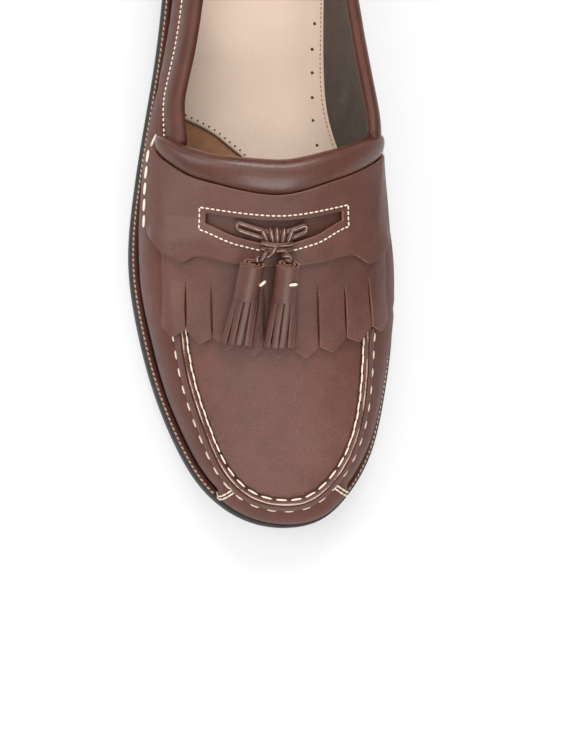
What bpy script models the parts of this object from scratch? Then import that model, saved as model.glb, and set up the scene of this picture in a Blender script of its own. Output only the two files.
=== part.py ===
"""Kiltie loafer, right shoe: moccasin upper on a low rubber sole, with saddle band, fringe, bow and tassels.

Metres. The toe points along -Y, the big-toe side is +X and the floor is z = 0.
Everything hangs on a few sizes. Tables give a row for each rib or station, in shares of those sizes.
"""

import math
from collections import namedtuple

import bmesh
import bpy
import numpy as np

# Driving sizes
LENGTH = 0.302
BALL_WIDTH = 0.108
INSTEP_HEIGHT = 0.078
HEEL_HEIGHT = 0.019
SOLE_THICKNESS = 0.0075
TOE_SPRING = 0.009

# Leather, seams and fits
WALL = 0.002
CLEARANCE = 0.0003
OVERLAY_GAP = 0.00045
ROLL_GAP = 0.0013
SOLE_LEDGE = 0.0010
WELT_WIDTH = 0.0025
WELT_HEIGHT = 0.0024
INSOLE_THICKNESS = 0.003
BAND_THICKNESS = 0.0018
KILTIE_THICKNESS = 0.0015
ROLL_THICKNESS = 0.0075
BINDING_HEIGHT = 0.0105
BINDING_THICKNESS = 0.0056
SEAM_WIDTH = 0.0052
SEAM_HEIGHT = 0.0021
LACE_DIAMETER = 0.0025
TASSEL_HEAD_RADIUS = 0.0050
HEEL_LENGTH = 0.078
HEEL_TAPER = 0.0012
SOLE_BEVEL = 0.0012
TREAD_DEPTH = 0.0014
TREAD_WIDTH = 0.0035

# Share of the instep's crown that is left at a given share of the way from centre to seam
CROWN_POWER = 2.2
# Share of the wall's rise that stands straight up beside the welt
KNEE_RISE = 0.08
# How far each end of a wall's section pulls on it, as a share of the wall's height
WALL_PULL = 0.34

# A rib of the upper: where its foot stands on the sole's edge, where its top lies, how far the wall
# flares out at the foot and leans in at the top (degrees). Along runs from heel to toe as a share of
# the length, across is a share of the ball width, up is a share of the instep height.
Rib = namedtuple("Rib", "name along across top_along top_across top_up flare lean")
RIBS = [
    Rib("heel back", 0.000, -0.065, 0.025, -0.065, 0.98, 14, 22),
    Rib("heel turn lateral", 0.030, -0.290, 0.055, -0.235, 0.95, 12, 22),
    Rib("heel side lateral", 0.100, -0.380, 0.115, -0.300, 0.88, 9, 22),
    Rib("seat lateral", 0.190, -0.392, 0.200, -0.330, 0.80, 7, 24),
    Rib("waist rear lateral", 0.285, -0.405, 0.290, -0.352, 0.745, 6, 26),
    Rib("waist lateral", 0.375, -0.432, 0.378, -0.385, 0.725, 5, 27),
    Rib("throat lateral", 0.460, -0.468, 0.465, -0.432, 0.735, 5, 30),
    Rib("saddle lateral", 0.545, -0.500, 0.550, -0.428, 0.765, 6, 45),
    Rib("ball lateral", 0.635, -0.515, 0.650, -0.398, 0.715, 7, 54),
    Rib("small toe lateral", 0.735, -0.474, 0.745, -0.356, 0.640, 8, 54),
    Rib("toe side lateral", 0.815, -0.414, 0.812, -0.316, 0.585, 8, 52),
    Rib("toe turn lateral", 0.885, -0.336, 0.872, -0.254, 0.525, 9, 48),
    Rib("toe corner lateral", 0.948, -0.228, 0.927, -0.176, 0.480, 10, 44),
    Rib("toe cheek lateral", 0.987, -0.085, 0.961, -0.068, 0.462, 10, 42),
    Rib("toe tip", 1.000, 0.077, 0.970, 0.060, 0.460, 10, 42),
    Rib("toe cheek medial", 0.988, 0.225, 0.960, 0.165, 0.462, 10, 42),
    Rib("toe corner medial", 0.955, 0.328, 0.930, 0.250, 0.475, 10, 44),
    Rib("toe turn medial", 0.900, 0.420, 0.880, 0.315, 0.520, 7, 48),
    Rib("toe side medial", 0.825, 0.478, 0.818, 0.341, 0.580, 8, 52),
    Rib("big toe medial", 0.745, 0.514, 0.748, 0.346, 0.640, 12, 54),
    Rib("ball medial", 0.665, 0.516, 0.665, 0.352, 0.710, 14, 54),
    Rib("saddle medial", 0.580, 0.468, 0.575, 0.354, 0.765, 14, 42),
    Rib("throat medial", 0.500, 0.375, 0.490, 0.370, 0.745, 13, 14),
    Rib("waist medial", 0.415, 0.288, 0.410, 0.336, 0.725, 22, 6),
    Rib("waist rear medial", 0.325, 0.268, 0.320, 0.292, 0.745, 17, 10),
    Rib("seat medial", 0.215, 0.265, 0.225, 0.238, 0.80, 12, 18),
    Rib("heel side medial", 0.110, 0.252, 0.125, 0.180, 0.88, 10, 22),
    Rib("heel turn medial", 0.032, 0.160, 0.055, 0.110, 0.95, 12, 22),
]

# The sole's side view: how much of the heel height and of the toe spring it stands off the floor
Station = namedtuple("Station", "along heel spring")
SOLE_PROFILE = [
    Station(0.00, 1.00, 0.00),
    Station(0.10, 1.00, 0.00),
    Station(0.20, 0.98, 0.00),
    Station(0.30, 0.76, 0.00),
    Station(0.42, 0.32, 0.00),
    Station(0.52, 0.06, 0.00),
    Station(0.58, 0.00, 0.00),
    Station(0.74, 0.00, 0.00),
    Station(0.84, 0.00, 0.30),
    Station(0.92, 0.00, 0.62),
    Station(1.00, 0.00, 1.00),
]

# The ridge of the instep, from the throat down to the toe's seam, as shares of the instep height
Crest = namedtuple("Crest", "along up")
CRESTS = [
    Crest(0.44, 1.06),
    Crest(0.50, 1.02),
    Crest(0.54, 0.98),
    Crest(0.58, 0.935),
    Crest(0.62, 0.885),
    Crest(0.67, 0.82),
    Crest(0.71, 0.765),
    Crest(0.78, 0.685),
    Crest(0.85, 0.60),
    Crest(0.91, 0.53),
    Crest(0.95, 0.488),
    Crest(0.97, 0.466),
]


def smooth(x, xs, ys):
    """Value at x of a curve through the points that never overshoots them."""
    xs = np.asarray(xs, float)
    ys = np.asarray(ys, float)
    x = np.asarray(x, float)
    step = np.diff(xs)
    rise = np.diff(ys) / step
    slope = np.zeros_like(ys)
    same_way = rise[1:] * rise[:-1] > 0
    slope[1:-1][same_way] = (2 * rise[1:] * rise[:-1])[same_way] / (rise[1:] + rise[:-1])[same_way]
    slope[0] = rise[0]
    slope[-1] = rise[-1]
    i = np.clip(np.searchsorted(xs, x, side="right") - 1, 0, len(step) - 1)
    t = np.clip((x - xs[i]) / step[i], 0, 1)
    value = (2 * t**3 - 3 * t**2 + 1) * ys[i] + (3 * t**2 - 2 * t**3) * ys[i + 1]
    return value + step[i] * ((t**3 - 2 * t**2 + t) * slope[i] + (t**3 - t**2) * slope[i + 1])


def closed_spline_slopes(knots, values):
    """Slopes at the knots of the smooth closed curve through the values."""
    count = len(values)
    step = np.diff(knots)
    rise = (np.roll(values, -1, 0) - values) / step[:, None]
    matrix = np.zeros((count, count))
    right = np.zeros_like(values)
    for i in range(count):
        before = step[i - 1]
        after = step[i]
        matrix[i, i - 1] += after
        matrix[i, i] += 2 * (before + after)
        matrix[i, (i + 1) % count] += before
        right[i] = 3 * (after * rise[i - 1] + before * rise[i])
    return np.linalg.solve(matrix, right)


def rib_numbers():
    rows = []
    for rib in RIBS:
        foot = (rib.across * BALL_WIDTH, (0.5 - rib.along) * LENGTH)
        top = (rib.top_across * BALL_WIDTH, (0.5 - rib.top_along) * LENGTH, rib.top_up * INSTEP_HEIGHT)
        rows.append((*foot, *top, math.radians(rib.flare), math.radians(rib.lean)))
    return np.array(rows)


RIB_VALUES = rib_numbers()
RIB_GAPS = np.linalg.norm(np.roll(RIB_VALUES[:, :2], -1, 0) - RIB_VALUES[:, :2], axis=1)
KNOTS = np.concatenate([[0.0], np.cumsum(RIB_GAPS)]) / RIB_GAPS.sum()
RIB_SLOPES = closed_spline_slopes(KNOTS, RIB_VALUES)


def rib_at(turn):
    """Rib values at a turn, from 0 at the heel's back along the lateral side to the toe and back to 1."""
    turn = turn % 1.0
    i = min(int(np.searchsorted(KNOTS, turn, side="right")) - 1, len(RIBS) - 1)
    j = (i + 1) % len(RIBS)
    step = KNOTS[i + 1] - KNOTS[i]
    t = (turn - KNOTS[i]) / step
    value = (2 * t**3 - 3 * t**2 + 1) * RIB_VALUES[i] + (3 * t**2 - 2 * t**3) * RIB_VALUES[j]
    return value + step * ((t**3 - 2 * t**2 + t) * RIB_SLOPES[i] + (t**3 - t**2) * RIB_SLOPES[j])


def sole_lift(y):
    """Height of the outsole's underside above the floor."""
    along = 0.5 - y / LENGTH
    stations = [row.along for row in SOLE_PROFILE]
    heel = smooth(along, stations, [row.heel for row in SOLE_PROFILE])
    spring = smooth(along, stations, [row.spring for row in SOLE_PROFILE])
    return float(HEEL_HEIGHT * heel + TOE_SPRING * spring)


def sole_top(y):
    return sole_lift(y) + SOLE_THICKNESS


def outward(turn):
    """Level direction out of the sole's outline."""
    step = 0.0005
    ahead = rib_at(turn + step)[:2] - rib_at(turn - step)[:2]
    return np.array([ahead[1], -ahead[0]]) / np.linalg.norm(ahead)


def outline(turn, inset):
    """Point on the sole's outline, moved in by the inset."""
    return rib_at(turn)[:2] - outward(turn) * inset


def outline_turn(side, along):
    """Turn at which the sole's outline passes a place along the shoe."""
    turns = np.linspace(0.0, 0.5, 721) if side < 0 else np.linspace(0.5, 1.0, 721)
    ys = np.array([outline(turn, 0.0)[1] for turn in turns])
    y = (0.5 - along) * LENGTH
    return float(turns[int(np.argmin(np.abs(ys - y)))])


WELT_ENDS = (0.957, 0.951)
WELT_TURNS = (outline_turn(-1, WELT_ENDS[0]), outline_turn(1, WELT_ENDS[1]))
TOE_EASE = 0.016
FEATHER_INSET = SOLE_LEDGE + WELT_WIDTH + 2 * CLEARANCE


def feather_inset(turn):
    """How far inside the sole's edge the wall stands: behind the welt, but further out round the bare toe."""
    turn = turn % 1.0
    past = min(turn - WELT_TURNS[0], WELT_TURNS[1] - turn) - TOE_EASE / 4
    ease = min(max(past / TOE_EASE, 0), 1)
    return FEATHER_INSET - WELT_WIDTH * (3 * ease**2 - 2 * ease**3)


def seam_point(turn):
    return rib_at(turn)[2:5]


def wall_point(turn, rise):
    """Outer face of the wall: rise 0 at the feather line on the sole, 1 at the top."""
    values = rib_at(turn)
    way = outward(turn)
    foot = outline(turn, feather_inset(turn))
    foot = np.array([foot[0], foot[1], sole_top(foot[1]) + CLEARANCE])
    knee = foot + np.array([0, 0, WELT_HEIGHT + CLEARANCE])
    if rise < KNEE_RISE:
        return foot + (knee - foot) * rise / KNEE_RISE
    foot = knee
    top = values[2:5]
    flare, lean = values[5:7]
    pull = WALL_PULL * np.linalg.norm(top - foot)
    low = foot + pull * np.array([*(way * math.sin(flare)), math.cos(flare)])
    high = top + pull * np.array([*(way * math.sin(lean)), -math.cos(lean)])
    t = (rise - KNEE_RISE) / (1 - KNEE_RISE)
    return (1 - t) ** 3 * foot + 3 * t * (1 - t) ** 2 * low + 3 * t**2 * (1 - t) * high + t**3 * top


def side_tables():
    """Turn against y of the wall's top, for the lateral and the medial side in front of the heel."""
    turns = np.linspace(0.0, 1.0, 1441)
    tops = np.array([seam_point(turn)[1] for turn in turns])
    tip = int(np.argmin(tops))
    return (turns[: tip + 1][::-1], tops[: tip + 1][::-1]), (turns[tip:], tops[tip:])


LATERAL, MEDIAL = side_tables()
TIP_TURN = float(LATERAL[0][0])
TIP_Y = float(LATERAL[1][0])


def side_turn(side, y):
    """Turn at which the wall's top passes y, on the lateral (-1) or medial (1) side."""
    turns, tops = LATERAL if side < 0 else MEDIAL
    return float(np.interp(y, tops, turns))


def crest_height(y):
    along = 0.5 - y / LENGTH
    return float(INSTEP_HEIGHT * smooth(along, [row.along for row in CRESTS], [row.up for row in CRESTS]))


def skin(y, reach):
    """Outer face of the whole forefoot: reach 0 on the ridge, -1 and 1 at the seams, -2 and 2 at the sole."""
    if abs(reach) > 1:
        side = math.copysign(1, reach)
        return wall_point(side_turn(side, y), 2 - abs(reach))
    left = seam_point(side_turn(-1, y))
    right = seam_point(side_turn(1, y))
    point = left + (right - left) * (reach + 1) / 2
    crown = max(crest_height(y) - (left[2] + right[2]) / 2, 0)
    point[2] += crown * (1 - abs(reach) ** CROWN_POWER)
    return point


def across_table(y):
    """Reach against distance along the skin from the ridge, at one y."""
    reaches = np.linspace(-1.9, 1.9, 77)
    points = np.array([skin(y, reach) for reach in reaches])
    walked = np.concatenate([[0], np.cumsum(np.linalg.norm(np.diff(points, axis=0), axis=1))])
    return walked - np.interp(0, reaches, walked), reaches


def lay(y, across, lift):
    """Point at a distance across from the ridge, lifted off the skin along its normal."""
    table = across_table(y)
    return lay_with(table, y, across, lift)


def lay_with(table, y, across, lift):
    reach = float(np.interp(across, *table))
    step = 0.02
    point = skin(y, reach)
    side = skin(y, reach + step) - skin(y, reach - step)
    span = 0.002
    ahead = skin(y + span, reach) - skin(y - span, reach)
    normal = np.cross(side, ahead)
    return point + normal / np.linalg.norm(normal) * lift


# Pattern of the forefoot's overlays. Across is the distance from the instep's ridge in shares of the
# ball width, negative on the lateral side; along is a share of the length.
Edge = namedtuple("Edge", "across along")
ROLL_BACK = [
    Edge(-0.47, 0.506),
    Edge(-0.23, 0.524),
    Edge(0.00, 0.529),
    Edge(0.22, 0.512),
    Edge(0.47, 0.487),
]
ROLL_FRONT = [
    Edge(-0.52, 0.507),
    Edge(-0.43, 0.526),
    Edge(-0.27, 0.552),
    Edge(0.00, 0.571),
    Edge(0.23, 0.548),
    Edge(0.43, 0.516),
    Edge(0.52, 0.496),
]
WINDOW_BACK = [
    Edge(-0.52, 0.560),
    Edge(-0.27, 0.594),
    Edge(0.00, 0.605),
    Edge(0.26, 0.588),
    Edge(0.52, 0.552),
]
WINDOW_FRONT = [
    Edge(-0.52, 0.585),
    Edge(-0.27, 0.606),
    Edge(-0.13, 0.626),
    Edge(0.00, 0.634),
    Edge(0.13, 0.623),
    Edge(0.26, 0.600),
    Edge(0.52, 0.577),
]
BAND_FRONT = [
    Edge(-0.52, 0.606),
    Edge(-0.44, 0.628),
    Edge(-0.39, 0.646),
    Edge(-0.335, 0.655),
    Edge(-0.285, 0.648),
    Edge(-0.14, 0.658),
    Edge(0.00, 0.661),
    Edge(0.14, 0.655),
    Edge(0.285, 0.643),
    Edge(0.35, 0.652),
    Edge(0.40, 0.643),
    Edge(0.45, 0.624),
    Edge(0.52, 0.600),
]
KILTIE_ROOT = [
    Edge(-0.43, 0.634),
    Edge(0.00, 0.648),
    Edge(0.45, 0.632),
]
KILTIE_SLIT_TOP = [
    Edge(-0.43, 0.676),
    Edge(-0.23, 0.688),
    Edge(0.00, 0.693),
    Edge(0.15, 0.688),
    Edge(0.45, 0.664),
]
KILTIE_TIP = [
    Edge(-0.43, 0.742),
    Edge(-0.20, 0.767),
    Edge(0.00, 0.778),
    Edge(0.11, 0.777),
    Edge(0.22, 0.766),
    Edge(0.43, 0.733),
]
# Slits between the nine strips of the fringe, with its two outer edges first and last
KILTIE_SLITS = [-0.417, -0.329, -0.236, -0.143, -0.048, 0.050, 0.150, 0.256, 0.356, 0.445]
KILTIE_POINT = 0.0037
KILTIE_SLIT_OPEN = 0.0007
# How far the fringe's tips stand off where they cross the raised seam
FRINGE_RISE = 0.0022
WINDOW_REACH = 0.262
BAND_REACH = 0.49
APRON_END = 0.655
TONGUE_REACH = 0.965
ROLL_REACH = 0.445
BINDING_ENDS = (0.508, 0.491)
SEAM_ENDS = (0.738, 0.735)

# Section of the tongue: share of the way from its root to the roll or, past 1, across the roll, and
# its lift off the skin in shares of the roll's thickness
TongueRow = namedtuple("TongueRow", "part share lift")
TONGUE_ROWS = [
    TongueRow("plate", 0.0, 0.0),
    TongueRow("plate", 0.5, 0.0),
    TongueRow("plate", 1.0, 0.0),
    TongueRow("roll", 0.05, 0.26),
    TongueRow("roll", 0.22, 0.46),
    TongueRow("roll", 0.50, 0.56),
    TongueRow("roll", 0.78, 0.46),
    TongueRow("roll", 0.95, 0.22),
    TongueRow("roll", 1.00, -0.04),
    TongueRow("roll", 0.92, -0.28),
    TongueRow("roll", 0.70, -0.42),
    TongueRow("roll", 0.35, -0.42),
    TongueRow("roll", 0.05, -0.30),
    TongueRow("plate", 0.92, -0.24),
    TongueRow("plate", 0.5, -0.24),
    TongueRow("plate", 0.0, -0.24),
]

# Section of the collar binding: up the wall's line as a share of its height, and out of the wall's
# outer face as a share of its thickness
BindingRow = namedtuple("BindingRow", "up out")
BINDING_ROWS = [
    BindingRow(0.00, 0.02),
    BindingRow(0.12, 0.18),
    BindingRow(0.45, 0.26),
    BindingRow(0.75, 0.20),
    BindingRow(0.94, -0.02),
    BindingRow(1.00, -0.32),
    BindingRow(0.93, -0.62),
    BindingRow(0.70, -0.74),
    BindingRow(0.40, -0.72),
    BindingRow(0.12, -0.56),
    BindingRow(0.00, -0.36),
]


def edge_y(edges, across):
    """y of a pattern edge at a distance across."""
    along = smooth(across / BALL_WIDTH, [edge.across for edge in edges], [edge.along for edge in edges])
    return float((0.5 - along) * LENGTH)


# Blender helpers

def collection(name, hidden=False):
    group = bpy.data.collections.new(name)
    group.hide_render = hidden
    bpy.context.scene.collection.children.link(group)
    return group


def material(name, colour, roughness, metallic=0.0):
    finish = bpy.data.materials.new(name)
    finish.use_nodes = True
    shader = finish.node_tree.nodes["Principled BSDF"]
    shader.inputs["Base Color"].default_value = (*colour, 1.0)
    shader.inputs["Roughness"].default_value = roughness
    shader.inputs["Metallic"].default_value = metallic
    return finish


def add_object(name, form, group, finish):
    """Turns a bmesh into an object with faces that point out."""
    bmesh.ops.remove_doubles(form, verts=form.verts, dist=1e-6)
    bmesh.ops.dissolve_degenerate(form, edges=form.edges, dist=1e-7)
    bmesh.ops.recalc_face_normals(form, faces=form.faces)
    mesh = bpy.data.meshes.new(name)
    form.to_mesh(mesh)
    form.free()
    item = bpy.data.objects.new(name, mesh)
    group.objects.link(item)
    item.data.materials.append(finish)
    return item


def add_grid(form, points, wrap=False):
    """Quads between neighbouring rows of points; wrap joins each row's end to its start."""
    rows = [[form.verts.new(point) for point in row] for row in points]
    for row, following in zip(rows[:-1], rows[1:]):
        count = len(row) if wrap else len(row) - 1
        for i in range(count):
            j = (i + 1) % len(row)
            form.faces.new((row[i], row[j], following[j], following[i]))
    return rows


def loft(sections):
    """Closed solid through closed sections, capped at both ends."""
    form = bmesh.new()
    rows = add_grid(form, sections, wrap=True)
    form.faces.new(rows[0])
    form.faces.new(rows[-1])
    return form


def thicken(item, thickness, offset):
    """Gives a sheet its thickness: offset 1 grows outwards, -1 inwards."""
    solidify = item.modifiers.new("thickness", "SOLIDIFY")
    solidify.thickness = thickness
    solidify.offset = offset
    solidify.use_even_offset = True
    return item


def join_forms(item, cutters):
    """Fuses a collection's solids onto the item."""
    fuse = item.modifiers.new("fuse", "BOOLEAN")
    fuse.operation = "UNION"
    fuse.operand_type = "COLLECTION"
    fuse.collection = cutters
    fuse.solver = "EXACT"
    fuse.use_self = True
    return item


# Sole

# Places of the tread's cross grooves along the shoe
FOREFOOT_GROOVES = [0.600, 0.626, 0.652, 0.678, 0.704, 0.730]
HEEL_GROOVES = [0.060, 0.105, 0.150, 0.195]
FOREFOOT_GROOVE_LENGTH = 0.064
HEEL_GROOVE_LENGTH = 0.034


def edge_table(inset):
    turns = np.linspace(0.0, 1.0, 721)
    points = np.array([outline(turn, inset) for turn in turns])
    tip = int(np.argmin(points[:, 1]))
    rear = points[: tip + 1][::-1]
    front = points[tip:]
    back = int(np.argmax(rear[:, 1]))
    other = int(np.argmax(front[:, 1]))
    return rear[: back + 1], front[: other + 1]


def edge_points(inset, shares, first=None, last=None):
    """Left and right points of the outline, from the heel's back (share 0) to the toe's tip (share 1)."""
    left, right = edge_table(inset)
    back = max(left[-1, 1], right[-1, 1]) if first is None else first
    tip = left[0, 1] if last is None else last
    rows = []
    for share in shares:
        y = back + (tip - back) * share
        rows.append((float(np.interp(y, left[:, 1], left[:, 0])), float(np.interp(y, right[:, 1], right[:, 0])), y))
    return rows


def round_shares(count):
    """Shares from 0 to 1, closer together at both ends."""
    return [(1 - math.cos(math.pi * i / count)) / 2 for i in range(count + 1)]


def plate(levels, shares, last=None):
    """Solid between levels of the outline. A level is an inset and a function that gives its height at y."""
    sides = [edge_points(inset, shares, last=last) for inset, _ in levels]
    sections = []
    for i in range(len(shares)):
        rows = [(side[i], height) for side, (_, height) in zip(sides, levels)]
        right_up = [(right, y, height(y)) for (_, right, y), height in rows]
        left_down = [(left, y, height(y)) for (left, _, y), height in reversed(rows)]
        sections.append(right_up + left_down)
    return loft(sections)


def make_outsole(group, finish, cutters):
    bevel = SOLE_BEVEL
    levels = [
        (bevel, sole_lift),
        (0.0, lambda y: sole_lift(y) + bevel),
        (0.0, lambda y: sole_top(y) - bevel / 2),
        (bevel / 2, sole_top),
    ]
    item = add_object("outsole", plate(levels, round_shares(36)), group, finish)
    cut_treads(item, cutters, FOREFOOT_GROOVES, FOREFOOT_GROOVE_LENGTH)
    return item


def make_heel(group, finish, cutters):
    bevel = SOLE_BEVEL
    front = 0.5 * LENGTH - HEEL_LENGTH
    levels = [
        (HEEL_TAPER + bevel, lambda y: 0.0),
        (HEEL_TAPER, lambda y: bevel),
        (HEEL_TAPER / 2, lambda y: sole_lift(y) - CLEARANCE),
    ]
    shares = [(1 - math.cos(math.pi / 2 * i / 12)) for i in range(13)]
    item = add_object("heel", plate(levels, shares, last=front), group, finish)
    cut_treads(item, cutters, HEEL_GROOVES, HEEL_GROOVE_LENGTH)
    return item


def cut_treads(item, cutters, places, width):
    """Cuts cross grooves into an underside, leaving lugs between them."""
    for i, along in enumerate(places):
        form = bmesh.new()
        bmesh.ops.create_cube(form, size=1.0)
        bmesh.ops.scale(form, verts=form.verts, vec=(width, TREAD_WIDTH, 2 * TREAD_DEPTH))
        y = (0.5 - along) * LENGTH
        table = edge_points(0.0, [0.0], first=y)[0]
        middle = (table[0] + table[1]) / 2
        bmesh.ops.translate(form, verts=form.verts, vec=(middle, y, 0.0))
        mesh = bpy.data.meshes.new(f"{item.name}_groove_{i}")
        form.to_mesh(mesh)
        form.free()
        cutter = bpy.data.objects.new(mesh.name, mesh)
        cutter.display_type = "WIRE"
        cutters.objects.link(cutter)
        cut = item.modifiers.new(f"groove {i}", "BOOLEAN")
        cut.operation = "DIFFERENCE"
        cut.object = cutter
        cut.solver = "EXACT"


def make_insole(group, finish):
    inset = FEATHER_INSET + WALL + 2 * CLEARANCE
    edge = 0.0006
    levels = [
        (inset, lambda y: sole_top(y) + CLEARANCE),
        (inset, lambda y: sole_top(y) + INSOLE_THICKNESS - edge),
        (inset + edge, lambda y: sole_top(y) + INSOLE_THICKNESS),
    ]
    return add_object("insole", plate(levels, round_shares(32)), group, finish)


def make_welt(group, finish):
    first = WELT_TURNS[0]
    last = WELT_TURNS[1] - 1.0
    inner = SOLE_LEDGE + WELT_WIDTH
    corner = 0.0005
    sections = []
    for turn in np.linspace(first, last, 66):
        rows = [(SOLE_LEDGE, 0.0), (SOLE_LEDGE, WELT_HEIGHT - corner), (SOLE_LEDGE + corner, WELT_HEIGHT)]
        rows += [(inner, WELT_HEIGHT), (inner, 0.0)]
        section = []
        for inset, up in rows:
            x, y = outline(turn, inset)
            section.append((x, y, sole_top(y) + CLEARANCE + up))
        sections.append(section)
    return add_object("welt", loft(sections), group, finish)


# Upper

def apron_ys(count):
    """y of the apron's cross lines, from its back edge to the toe's seam, closer together at the toe."""
    back = (0.5 - APRON_END) * LENGTH
    return [back + (TIP_Y - back) * math.sin(math.pi / 2 * i / count) for i in range(count + 1)]


def make_upper(group, finish):
    ys = apron_ys(17)
    lateral = [side_turn(-1, y) for y in ys]
    medial = [side_turn(1, y) for y in ys]
    behind = np.linspace(medial[0], 1.0 + lateral[0], 35)[1:]
    turns = lateral + medial[-2::-1] + list(behind)
    form = bmesh.new()
    rises = [0.0, KNEE_RISE, 0.2, 0.34, 0.5, 0.66, 0.83, 1.0]
    add_grid(form, [[wall_point(turn, rise) for rise in rises] for turn in turns])
    reaches = [-1.0, -0.93, -0.82, -0.66, -0.44, -0.2, 0.0, 0.2, 0.44, 0.66, 0.82, 0.93, 1.0]
    add_grid(form, [[skin(y, reach) for reach in reaches] for y in ys])
    item = add_object("upper", form, group, finish)
    return thicken(item, WALL, -1)


def seam_frame(turn):
    """Top of the wall with the way inwards over the apron, the way down the wall and the way off both."""
    top = seam_point(turn)
    y = top[1]
    way = outward(turn)
    run = SEAM_WIDTH / 2
    inner = np.array([top[0] - way[0] * run, y - way[1] * run])
    inner_y = max(inner[1], TIP_Y + 0.0002)
    left = seam_point(side_turn(-1, inner_y))[0]
    right = seam_point(side_turn(1, inner_y))[0]
    reach = min(max((2 * inner[0] - left - right) / (right - left), -1), 1)
    height = skin(inner_y, reach)[2]
    inner = np.array([inner[0], inner[1], height])
    wall_length = np.linalg.norm(top - wall_point(turn, 0.9)) / 0.1
    outer = wall_point(turn, 1 - run / wall_length)
    off = np.cross(rib_ahead(turn), inner - outer)
    off = off / np.linalg.norm(off)
    if off[2] < 0:
        off = -off
    return top, inner, outer, off


def rib_ahead(turn):
    return seam_point(turn + 0.001) - seam_point(turn - 0.001)


def make_apron_seam(group, finish):
    first = side_turn(-1, (0.5 - SEAM_ENDS[0]) * LENGTH)
    last = side_turn(1, (0.5 - SEAM_ENDS[1]) * LENGTH)
    fade = 0.10
    sections = []
    for share in np.linspace(0, 1, 40):
        turn = first + (last - first) * share
        top, inner, outer, off = seam_frame(turn)
        height = SEAM_HEIGHT * (0.35 + 0.65 * min(share / fade, (1 - share) / fade, 1))
        base = CLEARANCE * 2
        section = [outer + off * base, top + off * base, inner + off * base]
        section.append(inner * 0.92 + top * 0.08 + off * (base + height * 0.6))
        section.append(inner * 0.5 + top * 0.5 + off * (base + height))
        section.append(outer * 0.5 + top * 0.5 + off * (base + height))
        section.append(outer * 0.92 + top * 0.08 + off * (base + height * 0.6))
        sections.append(section)
    return add_object("apron_seam", loft(sections), group, finish)


def make_binding(group, finish):
    first = side_turn(-1, (0.5 - BINDING_ENDS[0]) * LENGTH)
    last = side_turn(1, (0.5 - BINDING_ENDS[1]) * LENGTH) - 1.0
    sections = []
    for turn in np.linspace(first, last, 40):
        top = wall_point(turn, 1.0)
        up = top - wall_point(turn, 0.96)
        up = up / np.linalg.norm(up)
        ahead = rib_ahead(turn)
        out = np.cross(up, ahead)
        out = out / np.linalg.norm(out)
        if out[:2] @ outward(turn) < 0:
            out = -out
        start = top + up * CLEARANCE * 1.5
        section = []
        for row in BINDING_ROWS:
            section.append(start + up * row.up * BINDING_HEIGHT + out * row.out * BINDING_THICKNESS)
        sections.append(section)
    return add_object("collar_binding", loft(sections), group, finish)


# Tongue and overlays

def make_tongue(group, finish):
    root = (0.5 - APRON_END) * LENGTH + 2 * CLEARANCE
    sections = []
    for share in np.linspace(-1, 1, 27):
        section = []
        across = share * ROLL_REACH * BALL_WIDTH
        front = edge_y(ROLL_FRONT, across)
        back = edge_y(ROLL_BACK, across)
        end = max(1 - abs(share) ** 8, 0) ** 0.5
        for row in TONGUE_ROWS:
            if row.part == "plate":
                y = root + (front - root) * row.share
                lift = row.lift * ROLL_THICKNESS
                table = across_table(y)
                seam = float(np.interp(TONGUE_REACH * math.copysign(1, share), table[1], table[0]))
                place = min(max(across, -abs(seam)), abs(seam)) if row.share >= 1 else share * abs(seam)
            else:
                y = front + (back - front) * (0.5 + (row.share - 0.5) * (0.6 + 0.4 * end))
                lift = row.lift * ROLL_THICKNESS * (0.5 + 0.5 * end)
                place = across
            section.append(lay(y, place, lift))
        sections.append(section)
    return add_object("tongue", loft(sections), group, finish)


def band_lift(y, across):
    """The band lies on the upper at its back and sides, and on the fringe's root in front."""
    full = KILTIE_THICKNESS + CLEARANCE
    share = smooth(0.5 - y / LENGTH, [0.54, 0.596, 0.630, 0.70], [0, 0, 1, 1])
    edge = smooth(abs(across) / BALL_WIDTH, [0.0, 0.44, 0.485, 0.6], [1, 1, 0, 0])
    return OVERLAY_GAP + full * float(share * edge)


def make_band(group, finish):
    inner = np.linspace(-WINDOW_REACH, WINDOW_REACH, 15)
    outer = np.array([0.29, 0.318, 0.345, 0.37, 0.393, 0.415, 0.435, 0.455, 0.472, BAND_REACH])
    columns = list(-outer[::-1]) + list(inner) + list(outer)
    form = bmesh.new()
    rows_back = 3
    rows_window = 1
    rows_front = 3
    points = []
    for share in columns:
        across = share * BALL_WIDTH
        edges = [edge_y(ROLL_FRONT, across) - ROLL_GAP]
        edges += [edge_y(row, across) for row in (WINDOW_BACK, WINDOW_FRONT, BAND_FRONT)]
        ys = list(np.linspace(edges[0], edges[1], rows_back + 1))
        ys += list(np.linspace(edges[1], edges[2], rows_window + 1)[1:])
        ys += list(np.linspace(edges[2], edges[3], rows_front + 1)[1:])
        points.append([lay(y, across, band_lift(y, across)) for y in ys])
    rows = add_grid(form, points)
    first = columns.index(inner[0])
    last = first + len(inner) - 1
    inside = []
    for i in range(first, last):
        for j in range(rows_back, rows_back + rows_window):
            wanted = {rows[i][j], rows[i + 1][j], rows[i + 1][j + 1], rows[i][j + 1]}
            inside += [face for face in form.faces if set(face.verts) == wanted]
    bmesh.ops.delete(form, geom=inside, context="FACES")
    item = add_object("saddle_band", form, group, finish)
    return thicken(item, BAND_THICKNESS, 1)


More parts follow.
